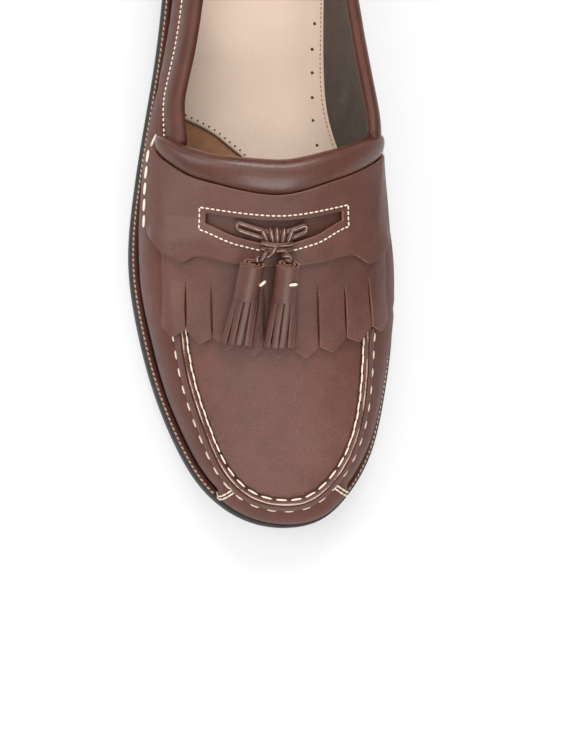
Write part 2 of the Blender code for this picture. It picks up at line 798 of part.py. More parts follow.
def kiltie_lift(y, across):
    """The fringe lies flat at its root and stands off a little at its tips, more over the raised seam."""
    along = 0.5 - y / LENGTH
    down = float(smooth(along, [0.63, 0.67, 0.72, 0.80], [0, 0, 0.5, 1]))
    side = float(smooth(abs(across) / BALL_WIDTH, [0.0, 0.22, 0.36, 0.6], [0.35, 0.5, 1, 1]))
    return OVERLAY_GAP + FRINGE_RISE * down * side


def make_kiltie(group, finish):
    form = bmesh.new()
    slits = KILTIE_SLITS
    for left, right in zip(slits[:-1], slits[1:]):
        middle = (left + right) / 2
        columns = [left, middle, right]
        root = []
        strip = []
        for share in columns:
            across = share * BALL_WIDTH
            top = edge_y(KILTIE_ROOT, across)
            knee = edge_y(KILTIE_SLIT_TOP, across)
            tip = edge_y(KILTIE_TIP, across)
            if share != middle:
                tip += KILTIE_POINT
            root.append([lay(y, across, kiltie_lift(y, across)) for y in np.linspace(top, knee, 4)])
            side = {left: 1, middle: 0, right: -1}[share]
            row = []
            for i, y in enumerate(np.linspace(knee, tip, 7)):
                moved = across + side * KILTIE_SLIT_OPEN / 2 * min(i / 2, 1)
                row.append(lay(y, moved, kiltie_lift(y, across)))
            strip.append(row)
        add_grid(form, root)
        add_grid(form, strip)
    item = add_object("kiltie", form, group, finish)
    return thicken(item, KILTIE_THICKNESS, 1)


# Bow and tassels

# Points of the bow, in millimetres from its centre: across the shoe, down towards the toe, and lift
# off the skin. The loops and ends keep this route.
BOW_ALONG = 0.622
BOW_ACROSS = -0.008
LATERAL_LOOP = [
    (0.0, -2.3, 3.6), (-4.5, -2.4, 3.8), (-9.0, -3.2, 3.2), (-12.6, -4.2, 2.6), (-15.0, -3.9, 2.3),
    (-15.8, -2.3, 2.2), (-14.6, -0.8, 2.2), (-11.4, 0.0, 2.5), (-7.6, 0.6, 3.0), (-4.0, 1.0, 3.6),
    (0.0, 1.1, 3.6), (1.8, -0.5, 3.6),
]
MEDIAL_LOOP = [
    (0.0, -2.3, 3.6), (4.5, -2.4, 3.8), (7.8, -3.3, 3.2), (10.8, -4.5, 2.6), (13.2, -4.3, 2.3),
    (14.0, -2.7, 2.2), (12.7, -1.1, 2.2), (10.0, -0.1, 2.5), (7.2, 0.6, 3.0), (4.0, 1.0, 3.6),
    (0.0, 1.1, 3.6), (-1.8, -0.5, 3.6),
]
LATERAL_END = [(-0.5, 2.4, 6.2), (-2.5, 4.4, 7.0), (-5.6, 6.2, 7.9), (-8.2, 8.2, 9.2), (-9.1, 9.9, 9.9)]
MEDIAL_END = [(0.8, 2.4, 6.2), (2.2, 4.6, 7.2), (3.2, 6.8, 8.4), (3.6, 8.6, 9.4), (3.5, 9.9, 9.9)]
WRAP_PLACES = [-4.6, -2.3, 0.0, 2.3, 4.6]
MM = 0.001

# Tassels: place of the head's top and of the strips' tips, across and along the shoe, and their lift
TasselEnd = namedtuple("TasselEnd", "across along lift")
TASSELS = {
    "tassel_lateral": (TasselEnd(-0.090, 0.6580, 0.0101), TasselEnd(-0.152, 0.7655, 0.0056)),
    "tassel_medial": (TasselEnd(0.026, 0.6580, 0.0101), TasselEnd(-0.002, 0.7690, 0.0058)),
}
# Profile of a tassel's head: share of its length, share of its radius
HEAD_PROFILE = [(0.0, 0.70), (0.0, 0.93), (0.05, 1.0), (0.90, 1.02), (0.97, 0.96), (1.0, 0.80)]
HEAD_SHARE = 0.41
STRIPS = 8
STRIP_WIDTH = 0.0027
STRIP_THICKNESS = 0.00124
# Down the tassel: share of its length, then half its width and half its thickness in millimetres, for
# the core and for the middle of the strips round it
CORE_PROFILE = [(0.36, 3.6, 3.4), (0.55, 3.9, 2.8), (0.90, 4.2, 1.0)]
STRIP_PROFILE = [(0.38, 3.9, 3.7), (0.55, 4.6, 3.4), (0.80, 5.4, 2.7), (1.00, 5.9, 2.2)]


def bow_point(across, down, lift):
    y = (0.5 - BOW_ALONG) * LENGTH - down * MM
    return lay(y, BOW_ACROSS * BALL_WIDTH + across * MM, lift * MM)


def rounded_path(points, steps, closed=False):
    """Smooth path through points that are chosen by hand."""
    points = [np.array(point) for point in points]
    count = len(points)
    path = []
    for i in range(count if closed else count - 1):
        before = points[(i - 1) % count] if closed or i else points[0]
        here = points[i]
        there = points[(i + 1) % count]
        after = points[(i + 2) % count] if closed or i + 2 < count else points[-1]
        for step in range(steps):
            t = step / steps
            near = (there - before) / 2
            far = (after - here) / 2
            point = (2 * t**3 - 3 * t**2 + 1) * here + (3 * t**2 - 2 * t**3) * there
            path.append(point + (t**3 - 2 * t**2 + t) * near + (t**3 - t**2) * far)
    if not closed:
        path.append(points[-1])
    return path


def tube(form, path, radius, sides, closed=False):
    """Round cord along a path, capped unless it closes on itself."""
    count = len(path)
    sections = []
    for i, point in enumerate(path):
        ahead = path[(i + 1) % count] if closed or i + 1 < count else point
        behind = path[i - 1] if closed or i else point
        way = (ahead - behind) / np.linalg.norm(ahead - behind)
        across = np.cross(way, (0.31, 0.17, 0.93))
        across = across / np.linalg.norm(across)
        up = np.cross(across, way)
        angles = [2 * math.pi * k / sides for k in range(sides)]
        sections.append([point + radius * (across * math.cos(a) + up * math.sin(a)) for a in angles])
    rows = add_grid(form, sections, wrap=True)
    if closed:
        for k in range(sides):
            j = (k + 1) % sides
            form.faces.new((rows[-1][k], rows[-1][j], rows[0][j], rows[0][k]))
    else:
        form.faces.new(rows[0])
        form.faces.new(rows[-1])


def fused_piece(name, form, cutters):
    """One solid that another piece is fused with."""
    item = add_object(name, form, cutters, bpy.data.materials["brown leather"])
    item.display_type = "WIRE"
    return item


def make_bow(group, finish):
    radius = LACE_DIAMETER / 2
    loops = collection("bow_pieces", hidden=True)
    sections = []
    for share in np.linspace(-0.96, 0.96, 9):
        size = math.sqrt(1 - share**2)
        ring = []
        for k in range(10):
            angle = 2 * math.pi * k / 10
            down = -1.6 + 3.4 * size * math.cos(angle)
            ring.append(bow_point(6.4 * share, down, 3.3 + 2.1 * size * math.sin(angle)))
        sections.append(ring)
    item = add_object("bow", loft(sections), group, finish)
    for name, points in (("bow_loop_lateral", LATERAL_LOOP), ("bow_loop_medial", MEDIAL_LOOP)):
        form = bmesh.new()
        tube(form, rounded_path([bow_point(*point) for point in points], 2, closed=True), radius, 6, closed=True)
        fused_piece(name, form, loops)
    for name, points in (("bow_end_lateral", LATERAL_END), ("bow_end_medial", MEDIAL_END)):
        form = bmesh.new()
        tube(form, rounded_path([bow_point(*point) for point in points], 2), radius, 6)
        fused_piece(name, form, loops)
    strand = radius / MM * 0.9
    bulges = [(-1.0, 0.0), (-0.5, 0.86), (0.5, 0.86), (1.0, 0.0)]
    for i, place in enumerate(WRAP_PLACES):
        sections = []
        for move, bulge in bulges:
            ring = []
            for k in range(10):
                angle = 2 * math.pi * k / 10
                down = -1.3 + (2.5 + strand * bulge) * math.cos(angle)
                drawn_in = 1 - 0.12 * math.cos(angle)
                lift = 3.9 + (1.7 + strand * bulge) * math.sin(angle)
                ring.append(bow_point((place + strand * move) * drawn_in, down, lift))
            sections.append(ring)
        fused_piece(f"bow_wrap_{i}", loft(sections), loops)
    for i, place in enumerate((1.2, 3.2)):
        sections = []
        for move, bulge in bulges:
            ring = []
            for k in range(12):
                angle = 2 * math.pi * k / 12
                across = -0.3 + (4.7 + strand * bulge) * math.cos(angle)
                lift = 6.5 + (0.4 + strand * bulge) * math.sin(angle)
                ring.append(bow_point(across, place + strand * move, lift))
            sections.append(ring)
        fused_piece(f"bow_knot_{i}", loft(sections), loops)
    return join_forms(item, loops)


def make_tassel(name, group, finish):
    """Rolled head with its strips fused on; it lies on the fringe."""
    start, end = TASSELS[name]
    top = lay((0.5 - start.along) * LENGTH, start.across * BALL_WIDTH, start.lift)
    tip = lay((0.5 - end.along) * LENGTH, end.across * BALL_WIDTH, end.lift)
    length = np.linalg.norm(tip - top)
    way = (tip - top) / length
    y = (0.5 - (start.along + end.along) / 2) * LENGTH
    x = (start.across + end.across) / 2 * BALL_WIDTH
    off = lay(y, x, 0.01) - lay(y, x, 0.0)
    side = np.cross(off, way)
    side = side / np.linalg.norm(side)
    off = np.cross(way, side)
    pieces = collection(f"{name}_pieces", hidden=True)

    def ring(share, wide, thick, sides):
        angles = [2 * math.pi * (k + 0.5) / sides for k in range(sides)]
        centre = top + way * share * length
        return [centre + side * wide * math.cos(a) + off * thick * math.sin(a) for a in angles]

    head = []
    for share, radius in HEAD_PROFILE:
        size = radius * TASSEL_HEAD_RADIUS
        head.append(ring(share * HEAD_SHARE, size, size, 14))
    item = add_object(name, loft(head), group, finish)
    core = [ring(share, wide * MM, thick * MM, 10) for share, wide, thick in CORE_PROFILE]
    fused_piece(f"{name}_core", loft(core), pieces)
    for i in range(STRIPS):
        angle = 2 * math.pi * (i + 0.5) / STRIPS
        shorter = 0.018 * (i % 3)
        sections = []
        for share, wide, thick in STRIP_PROFILE:
            reach = share - shorter if share == 1 else share
            middle = top + way * reach * length
            middle = middle + side * wide * MM * math.cos(angle) + off * thick * MM * math.sin(angle)
            along = -side * wide * math.sin(angle) + off * thick * math.cos(angle)
            along = along / np.linalg.norm(along) * STRIP_WIDTH / 2
            deep = np.cross(way, along)
            deep = deep / np.linalg.norm(deep) * STRIP_THICKNESS / 2
            sections.append([middle - along - deep, middle + along - deep, middle + along + deep, middle - along + deep])
        fused_piece(f"{name}_strip_{i}", loft(sections), pieces)
    return join_forms(item, pieces)


def main():
    for item in list(bpy.data.objects):
        bpy.data.objects.remove(item)
    shoe = collection("kiltie_loafer")
    cutters = collection("cutters", hidden=True)
    leather = material("brown leather", (0.165, 0.075, 0.052), 0.42)
    dark = material("dark brown leather", (0.135, 0.058, 0.040), 0.40)
    rubber = material("black rubber", (0.050, 0.042, 0.040), 0.75)
    strip = material("light brown leather", (0.190, 0.095, 0.065), 0.50)
    tan = material("tan leather", (0.80, 0.60, 0.47), 0.60)
    make_outsole(shoe, rubber, cutters)
    make_heel(shoe, rubber, cutters)
    make_welt(shoe, strip)
    make_insole(shoe, tan)
    make_upper(shoe, leather)
    make_apron_seam(shoe, leather)
    make_binding(shoe, dark)
    make_tongue(shoe, dark)
    make_band(shoe, leather)
    make_kiltie(shoe, leather)
    make_bow(shoe, leather)
    for name in TASSELS:
        make_tassel(name, shoe, leather)


if __name__ == "__main__":
    main()
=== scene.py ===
"""Looks of a kiltie loafer: fine surfaces, stitches, materials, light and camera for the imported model."""

import math
from collections import namedtuple

import bmesh
import bpy
import numpy as np
from mathutils import Matrix, Vector


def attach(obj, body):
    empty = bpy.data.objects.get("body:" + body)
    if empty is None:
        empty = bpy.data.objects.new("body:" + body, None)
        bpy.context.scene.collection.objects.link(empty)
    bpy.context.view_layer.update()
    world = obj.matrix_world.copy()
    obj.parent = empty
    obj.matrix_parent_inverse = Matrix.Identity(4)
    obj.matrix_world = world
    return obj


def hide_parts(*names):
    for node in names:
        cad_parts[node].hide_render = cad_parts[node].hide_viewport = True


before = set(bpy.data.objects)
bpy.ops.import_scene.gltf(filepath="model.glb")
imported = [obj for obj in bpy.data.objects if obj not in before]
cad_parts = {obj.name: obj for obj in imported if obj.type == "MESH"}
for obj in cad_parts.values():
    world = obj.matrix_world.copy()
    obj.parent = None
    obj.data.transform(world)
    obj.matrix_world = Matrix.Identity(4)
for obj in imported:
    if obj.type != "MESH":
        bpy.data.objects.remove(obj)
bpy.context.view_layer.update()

bl_info = {
    "name": "Kiltie Loafer Finish",
    "version": (1, 0, 0),
    "blender": (4, 5, 0),
    "location": "3D View > Sidebar > Loafer",
    "description": "Finishes a moccasin loafer: leather, stitching, fringe, bow, tassels and studio",
    "category": "Object",
}

MM = 0.001


def colour(hex_code):
    """Linear colour of an sRGB hex code."""
    parts = [int(hex_code[i : i + 2], 16) / 255 for i in (1, 3, 5)]
    return tuple(part / 12.92 if part <= 0.04045 else ((part + 0.055) / 1.055) ** 2.4 for part in parts)


def size_setting(name, description, default):
    """Length, in metres, that the panel shows."""
    return bpy.props.FloatProperty(
        name=name, description=description, default=default, unit="LENGTH", precision=5
    )


def colour_setting(name, description, hex_code):
    """Colour that the panel shows."""
    return bpy.props.FloatVectorProperty(
        name=name, description=description, default=colour(hex_code), subtype="COLOR", min=0.0, max=1.0
    )


class LoaferSizes(bpy.types.PropertyGroup):
    """Sizes that drive the shoe's form"""

    shoe_length: size_setting("Length", "Length of the outsole", 0.302)
    ball_width: size_setting("Ball width", "Width of the outsole at the ball", 0.108)
    instep_height: size_setting("Instep height", "Height of the instep above the floor", 0.078)
    heel_height: size_setting("Heel height", "Height of the heel block", 0.019)
    sole_thickness: size_setting("Sole thickness", "Thickness of the outsole", 0.0075)
    toe_spring: size_setting("Toe spring", "Rise of the sole at the toe", 0.009)
    wall: size_setting("Wall", "Thickness of the upper's leather", 0.002)


class LoaferColours(bpy.types.PropertyGroup):
    """Colours of the leathers, the rubber and the thread"""

    leather: colour_setting("Leather", "Oiled leather of the band, the fringe and the tassels", "#59352c")
    apron: colour_setting("Apron", "Oiled leather of the apron", "#5e372e")
    panel: colour_setting("Side leather", "Leather of the side panels", "#5c352b")
    binding: colour_setting("Binding", "Leather of the collar", "#50291c")
    tongue: colour_setting("Tongue", "Leather of the tongue and its roll", "#532d22")
    welt: colour_setting("Welt", "Leather strip round the sole", "#643d32")
    raw_edge: colour_setting("Raw edge", "Cut edge of the leather", "#9a6a54")
    footbed: colour_setting("Footbed", "Tan leather inside", "#f7dcc6")
    suede: colour_setting("Suede", "Suede under the footbed", "#ad7b58")
    lining: colour_setting("Lining", "Lining of the upper", "#5a4b41")
    rubber: colour_setting("Rubber", "Rubber of the sole", "#2b2624")
    thread: colour_setting("Thread", "Sewing thread", "#f4e2cc")


# These sizes, ribs and edges repeat the part's own, so that the surfaces lie on its solids. The window's
# reach, the roll behind the band, the ease at the toe, the bow and the tassels follow the photo more closely.
CLEARANCE = 0.0003
OVERLAY_GAP = 0.00045
SOLE_LEDGE = 0.0010
WELT_WIDTH = 0.0025
WELT_HEIGHT = 0.0024
INSOLE_THICKNESS = 0.003
BAND_THICKNESS = 0.0018
KILTIE_THICKNESS = 0.0015
ROLL_THICKNESS = 0.0075
BINDING_HEIGHT = 0.0105
BINDING_THICKNESS = 0.0056
SEAM_WIDTH = 0.0052
SEAM_HEIGHT = 0.0021
LACE_DIAMETER = 0.0024
TASSEL_HEAD_RADIUS = 0.0054
HEEL_LENGTH = 0.078
BAND_GAP = 0.0007
FRINGE_RISE = 0.0022
COVER_THICKNESS = 0.0009
SEAM_PITCH = 0.0072
TREAD_DEPTH = 0.0014
TREAD_WIDTH = 0.0035
CROWN_POWER = 2.2
KNEE_RISE = 0.08
WALL_PULL = 0.34
FEATHER_INSET = SOLE_LEDGE + WELT_WIDTH + 2 * CLEARANCE
TOE_EASE = 0.006

# A rib of the upper: where its foot stands on the sole's edge, where its top lies, how far the wall
# flares out at the foot and leans in at the top (degrees). Along runs from heel to toe as a share of
# the length, across is a share of the ball width, up is a share of the instep height.
Rib = namedtuple("Rib", "name along across top_along top_across top_up flare lean")
RIBS = [
    Rib("heel back", 0.000, -0.065, 0.025, -0.065, 0.98, 14, 22),
    Rib("heel turn lateral", 0.030, -0.290, 0.055, -0.235, 0.95, 12, 22),
    Rib("heel side lateral", 0.100, -0.380, 0.115, -0.300, 0.88, 9, 22),
    Rib("seat lateral", 0.190, -0.392, 0.200, -0.330, 0.80, 7, 24),
    Rib("waist rear lateral", 0.285, -0.405, 0.290, -0.352, 0.745, 6, 26),
    Rib("waist lateral", 0.375, -0.432, 0.378, -0.385, 0.725, 5, 27),
    Rib("throat lateral", 0.460, -0.468, 0.465, -0.432, 0.735, 5, 30),
    Rib("saddle lateral", 0.545, -0.500, 0.550, -0.428, 0.765, 6, 45),
    Rib("ball lateral", 0.635, -0.515, 0.650, -0.398, 0.715, 7, 54),
    Rib("small toe lateral", 0.735, -0.474, 0.745, -0.356, 0.640, 8, 54),
    Rib("toe side lateral", 0.815, -0.414, 0.812, -0.316, 0.585, 8, 52),
    Rib("toe turn lateral", 0.885, -0.336, 0.872, -0.254, 0.525, 9, 48),
    Rib("toe corner lateral", 0.948, -0.228, 0.927, -0.176, 0.480, 10, 44),
    Rib("toe cheek lateral", 0.987, -0.085, 0.961, -0.068, 0.462, 10, 42),
    Rib("toe tip", 1.000, 0.077, 0.970, 0.060, 0.460, 10, 42),
    Rib("toe cheek medial", 0.988, 0.225, 0.960, 0.165, 0.462, 10, 42),
    Rib("toe corner medial", 0.955, 0.328, 0.930, 0.250, 0.475, 10, 44),
    Rib("toe turn medial", 0.900, 0.420, 0.880, 0.315, 0.520, 7, 48),
    Rib("toe side medial", 0.825, 0.478, 0.818, 0.341, 0.580, 8, 52),
    Rib("big toe medial", 0.745, 0.514, 0.748, 0.346, 0.640, 12, 54),
    Rib("ball medial", 0.665, 0.516, 0.665, 0.352, 0.710, 14, 54),
    Rib("saddle medial", 0.580, 0.468, 0.575, 0.354, 0.765, 14, 42),
    Rib("throat medial", 0.500, 0.375, 0.490, 0.370, 0.745, 13, 14),
    Rib("waist medial", 0.415, 0.288, 0.410, 0.336, 0.725, 22, 6),
    Rib("waist rear medial", 0.325, 0.268, 0.320, 0.292, 0.745, 17, 10),
    Rib("seat medial", 0.215, 0.265, 0.225, 0.238, 0.80, 12, 18),
    Rib("heel side medial", 0.110, 0.252, 0.125, 0.180, 0.88, 10, 22),
    Rib("heel turn medial", 0.032, 0.160, 0.055, 0.110, 0.95, 12, 22),
]

# The sole's side view: how much of the heel height and of the toe spring it stands off the floor
Station = namedtuple("Station", "along heel spring")
SOLE_PROFILE = [
    Station(0.00, 1.00, 0.00),
    Station(0.10, 1.00, 0.00),
    Station(0.20, 0.98, 0.00),
    Station(0.30, 0.76, 0.00),
    Station(0.42, 0.32, 0.00),
    Station(0.52, 0.06, 0.00),
    Station(0.58, 0.00, 0.00),
    Station(0.74, 0.00, 0.00),
    Station(0.84, 0.00, 0.30),
    Station(0.92, 0.00, 0.62),
    Station(1.00, 0.00, 1.00),
]

# The ridge of the instep, from the throat down to the toe's seam, as shares of the instep height
Crest = namedtuple("Crest", "along up")
CRESTS = [
    Crest(0.44, 1.06),
    Crest(0.50, 1.02),
    Crest(0.54, 0.98),
    Crest(0.58, 0.935),
    Crest(0.62, 0.885),
    Crest(0.67, 0.82),
    Crest(0.71, 0.765),
    Crest(0.78, 0.685),
    Crest(0.85, 0.60),
    Crest(0.91, 0.53),
    Crest(0.95, 0.488),
    Crest(0.97, 0.466),
]

# Pattern of the forefoot's overlays. Across is the distance from the instep's ridge in shares of the
# ball width, negative on the lateral side; along is a share of the length.
Edge = namedtuple("Edge", "across along")
ROLL_BACK = [
    Edge(-0.47, 0.486),
    Edge(-0.40, 0.499),
    Edge(-0.32, 0.512),
    Edge(-0.20, 0.524),
    Edge(0.00, 0.530),
    Edge(0.20, 0.514),
    Edge(0.36, 0.492),
    Edge(0.47, 0.475),
]
ROLL_FRONT = [
    Edge(-0.52, 0.496),
    Edge(-0.43, 0.522),
    Edge(-0.27, 0.552),
    Edge(0.00, 0.571),
    Edge(0.23, 0.548),
    Edge(0.43, 0.516),
    Edge(0.52, 0.496),
]
WINDOW_BACK = [
    Edge(-0.52, 0.560),
    Edge(-0.27, 0.594),
    Edge(0.00, 0.605),
    Edge(0.26, 0.588),
    Edge(0.52, 0.552),
]
WINDOW_FRONT = [
    Edge(-0.52, 0.585),
    Edge(-0.27, 0.606),
    Edge(-0.13, 0.626),
    Edge(0.00, 0.634),
    Edge(0.13, 0.623),
    Edge(0.26, 0.600),
    Edge(0.52, 0.577),
]
BAND_FRONT = [
    Edge(-0.52, 0.606),
    Edge(-0.44, 0.628),
    Edge(-0.39, 0.646),
    Edge(-0.335, 0.655),
    Edge(-0.285, 0.648),
    Edge(-0.14, 0.658),
    Edge(0.00, 0.661),
    Edge(0.14, 0.655),
    Edge(0.285, 0.643),
    Edge(0.35, 0.652),
    Edge(0.40, 0.643),
    Edge(0.45, 0.624),
    Edge(0.52, 0.600),
]
KILTIE_ROOT = [
    Edge(-0.43, 0.634),
    Edge(0.00, 0.648),
    Edge(0.45, 0.632),
]
KILTIE_SLIT_TOP = [
    Edge(-0.43, 0.676),
    Edge(-0.23, 0.688),
    Edge(0.00, 0.693),
    Edge(0.15, 0.688),
    Edge(0.45, 0.664),
]
KILTIE_TIP = [
    Edge(-0.43, 0.742),
    Edge(-0.20, 0.767),
    Edge(0.00, 0.778),
    Edge(0.11, 0.777),
    Edge(0.22, 0.766),
    Edge(0.43, 0.733),
]
KILTIE_SLITS = [-0.417, -0.329, -0.236, -0.143, -0.048, 0.050, 0.150, 0.256, 0.356, 0.445]
KILTIE_POINT = 0.0037
KILTIE_SLIT_OPEN = 0.0007
WINDOW_REACH = 0.250
BAND_REACH = 0.49
APRON_END = 0.655
TONGUE_REACH = 0.965
ROLL_REACH = 0.470
BINDING_ENDS = (0.508, 0.491)
WELT_ENDS = (0.957, 0.951)
SEAM_ENDS = (0.738, 0.735)
HIDDEN_END = 0.024

# Section of the tongue: share of the way from its root to the roll or across the roll, and its lift
TongueRow = namedtuple("TongueRow", "part share lift")
TONGUE_ROWS = [
    TongueRow("plate", 0.0, 0.0),
    TongueRow("plate", 0.5, 0.0),
    TongueRow("plate", 1.0, 0.0),
    TongueRow("roll", -0.04, 0.16),
    TongueRow("roll", 0.04, 0.34),
    TongueRow("roll", 0.15, 0.47),
    TongueRow("roll", 0.28, 0.56),
    TongueRow("roll", 0.42, 0.625),
    TongueRow("roll", 0.56, 0.66),
    TongueRow("roll", 0.69, 0.66),
    TongueRow("roll", 0.81, 0.6),
    TongueRow("roll", 0.92, 0.44),
    TongueRow("roll", 0.985, 0.2),
    TongueRow("roll", 1.00, -0.04),
    TongueRow("roll", 0.92, -0.28),
    TongueRow("roll", 0.70, -0.42),
    TongueRow("roll", 0.35, -0.42),
    TongueRow("roll", 0.05, -0.30),
    TongueRow("plate", 0.92, -0.24),
    TongueRow("plate", 0.5, -0.24),
    TongueRow("plate", 0.0, -0.24),
]

# Section of the collar binding: up the wall's line, and out of the wall's outer face
BindingRow = namedtuple("BindingRow", "up out")
BINDING_ROWS = [
    BindingRow(0.00, 0.02),
    BindingRow(0.12, 0.18),
    BindingRow(0.45, 0.26),
    BindingRow(0.75, 0.20),
    BindingRow(0.94, -0.02),
    BindingRow(1.00, -0.32),
    BindingRow(0.93, -0.62),
    BindingRow(0.70, -0.74),
    BindingRow(0.40, -0.72),
    BindingRow(0.12, -0.56),
    BindingRow(0.00, -0.36),
]

# Bow, in millimetres from its centre: across the shoe, down towards the toe, and lift off the skin
BOW_ALONG = 0.6286
BOW_ACROSS = 0.0013
BowLoop = namedtuple("BowLoop", "name side reach climb")
BOW_LOOPS = [
    BowLoop("bow_loop_lateral", -1, 15.1, 4.0),
    BowLoop("bow_loop_medial", 1, 11.6, 3.5),
]
LOOP_ROOT = -2.8
LACE_ENDS = [
    [(-0.6, 2.6, 6.2), (-2.8, 3.6, 7.6), (-5.2, 4.6, 9.0), (-7.2, 5.6, 10.4), (-8.3, 6.7, 11.2)],
    [(0.8, 2.6, 6.2), (1.8, 3.6, 7.7), (2.8, 4.6, 9.2), (3.4, 5.6, 10.4), (3.5, 6.7, 11.2)],
]
WRAP_PLACES = [-4.3, -2.1, 0.0, 2.1, 4.3]
KNOT_PLACES = [1.2, 3.2]

# Tassels: place of the head's top and of the strips' tips, across and along the shoe, and their lift. The
# tack is the stitch on the head: its turn round the head in radians, its run to the side, down and outward
TasselEnd = namedtuple("TasselEnd", "across along lift")
Tassel = namedtuple("Tassel", "name top tip tack_turn tack_run")
TASSELS = [
    Tassel(
        "tassel_lateral", TasselEnd(-0.086, 0.6515, 0.0120), TasselEnd(-0.152, 0.7615, 0.0056),
        1.1, (0.5, -0.5, -0.3),
    ),
    Tassel(
        "tassel_medial", TasselEnd(0.029, 0.6515, 0.0120), TasselEnd(-0.002, 0.7650, 0.0058),
        0.35, (0.85, -0.15, 0.0),
    ),
]
HEAD_SHARE = 0.41
STRIP_ROOT = 0.36

# Creases of worn leather: which side of the shoe, where each starts and ends along the shoe and up the
# wall (0 at the sole, 1 at the seam), how wide and how deep it is in millimetres
WallCrease = namedtuple("WallCrease", "side along rise to_along to_rise wide deep")
WALL_CREASES = [
    WallCrease(-1, 0.762, 0.93, 0.771, 0.42, 0.7, 0.34),
    WallCrease(-1, 0.775, 0.95, 0.779, 0.55, 0.6, 0.28),
    WallCrease(-1, 0.786, 0.90, 0.794, 0.30, 0.8, 0.34),
    WallCrease(-1, 0.800, 0.94, 0.803, 0.50, 0.6, 0.26),
    WallCrease(-1, 0.812, 0.96, 0.820, 0.45, 0.7, 0.28),
    WallCrease(-1, 0.690, 0.80, 0.700, 0.25, 1.6, 0.30),
    WallCrease(-1, 0.655, 0.75, 0.662, 0.20, 1.8, 0.26),
    WallCrease(1, 0.769, 0.97, 0.765, 0.20, 1.0, 0.75),
    WallCrease(1, 0.778, 0.90, 0.774, 0.45, 0.7, 0.26),
    WallCrease(1, 0.815, 0.92, 0.818, 0.30, 0.7, 0.32),
    WallCrease(1, 0.700, 0.80, 0.694, 0.20, 1.8, 0.30),
    WallCrease(-1, 0.420, 0.70, 0.400, 0.20, 3.0, 0.45),
    WallCrease(1, 0.400, 0.65, 0.430, 0.20, 3.0, 0.45),
    WallCrease(-1, 0.130, 0.75, 0.160, 0.30, 3.2, 0.40),
    WallCrease(1, 0.150, 0.70, 0.175, 0.30, 3.2, 0.40),
]

# Puckers that the seam pulls into the apron: side, the first and the last one's place along the shoe, how
# many there are, how far in they reach (1 is the seam), width and depth in millimetres
Pucker = namedtuple("Pucker", "side first last count reach wide deep")
PUCKERS = [
    Pucker(-1, 0.772, 0.890, 17, 0.80, 0.55, 0.22),
    Pucker(1, 0.780, 0.880, 13, 0.86, 0.55, 0.14),
]


def smooth(x, xs, ys):
    """Value at x of a curve through the points that never overshoots them."""
    xs = np.asarray(xs, float)
    ys = np.asarray(ys, float)
    x = np.asarray(x, float)
    step = np.diff(xs)
    rise = np.diff(ys) / step
    slope = np.zeros_like(ys)
    same_way = rise[1:] * rise[:-1] > 0
    slope[1:-1][same_way] = (2 * rise[1:] * rise[:-1])[same_way] / (rise[1:] + rise[:-1])[same_way]
    slope[0] = rise[0]
    slope[-1] = rise[-1]
    i = np.clip(np.searchsorted(xs, x, side="right") - 1, 0, len(step) - 1)
    t = np.clip((x - xs[i]) / step[i], 0, 1)
    value = (2 * t**3 - 3 * t**2 + 1) * ys[i] + (3 * t**2 - 2 * t**3) * ys[i + 1]
    return value + step[i] * ((t**3 - 2 * t**2 + t) * slope[i] + (t**3 - t**2) * slope[i + 1])


def closed_spline_slopes(knots, values):
    """Slopes at the knots of the smooth closed curve through the values."""
    count = len(values)
    step = np.diff(knots)
    rise = (np.roll(values, -1, 0) - values) / step[:, None]
    matrix = np.zeros((count, count))
    right = np.zeros_like(values)
    for i in range(count):
        before = step[i - 1]
        after = step[i]
        matrix[i, i - 1] += after
        matrix[i, i] += 2 * (before + after)
        matrix[i, (i + 1) % count] += before
        right[i] = 3 * (after * rise[i - 1] + before * rise[i])
    return np.linalg.solve(matrix, right)


def unit(vectors):
    """The vectors at length 1."""
    return vectors / np.maximum(np.linalg.norm(vectors, axis=-1, keepdims=True), 1e-12)


def path_through(points, steps, closed=False):
    """Smooth path through the given points."""
    points = np.asarray(points, float)
    count = len(points)
    path = []
    for i in range(count if closed else count - 1):
        before = points[i - 1] if closed or i else points[0]
        here = points[i]
        there = points[(i + 1) % count]
        after = points[(i + 2) % count] if closed or i + 2 < count else points[-1]
        for step in range(steps):
            t = step / steps
            near = (there - before) / 2
            far = (after - here) / 2
            point = (2 * t**3 - 3 * t**2 + 1) * here + (3 * t**2 - 2 * t**3) * there
            path.append(point + (t**3 - 2 * t**2 + t) * near + (t**3 - t**2) * far)
    if not closed:
        path.append(points[-1])
    return np.array(path)


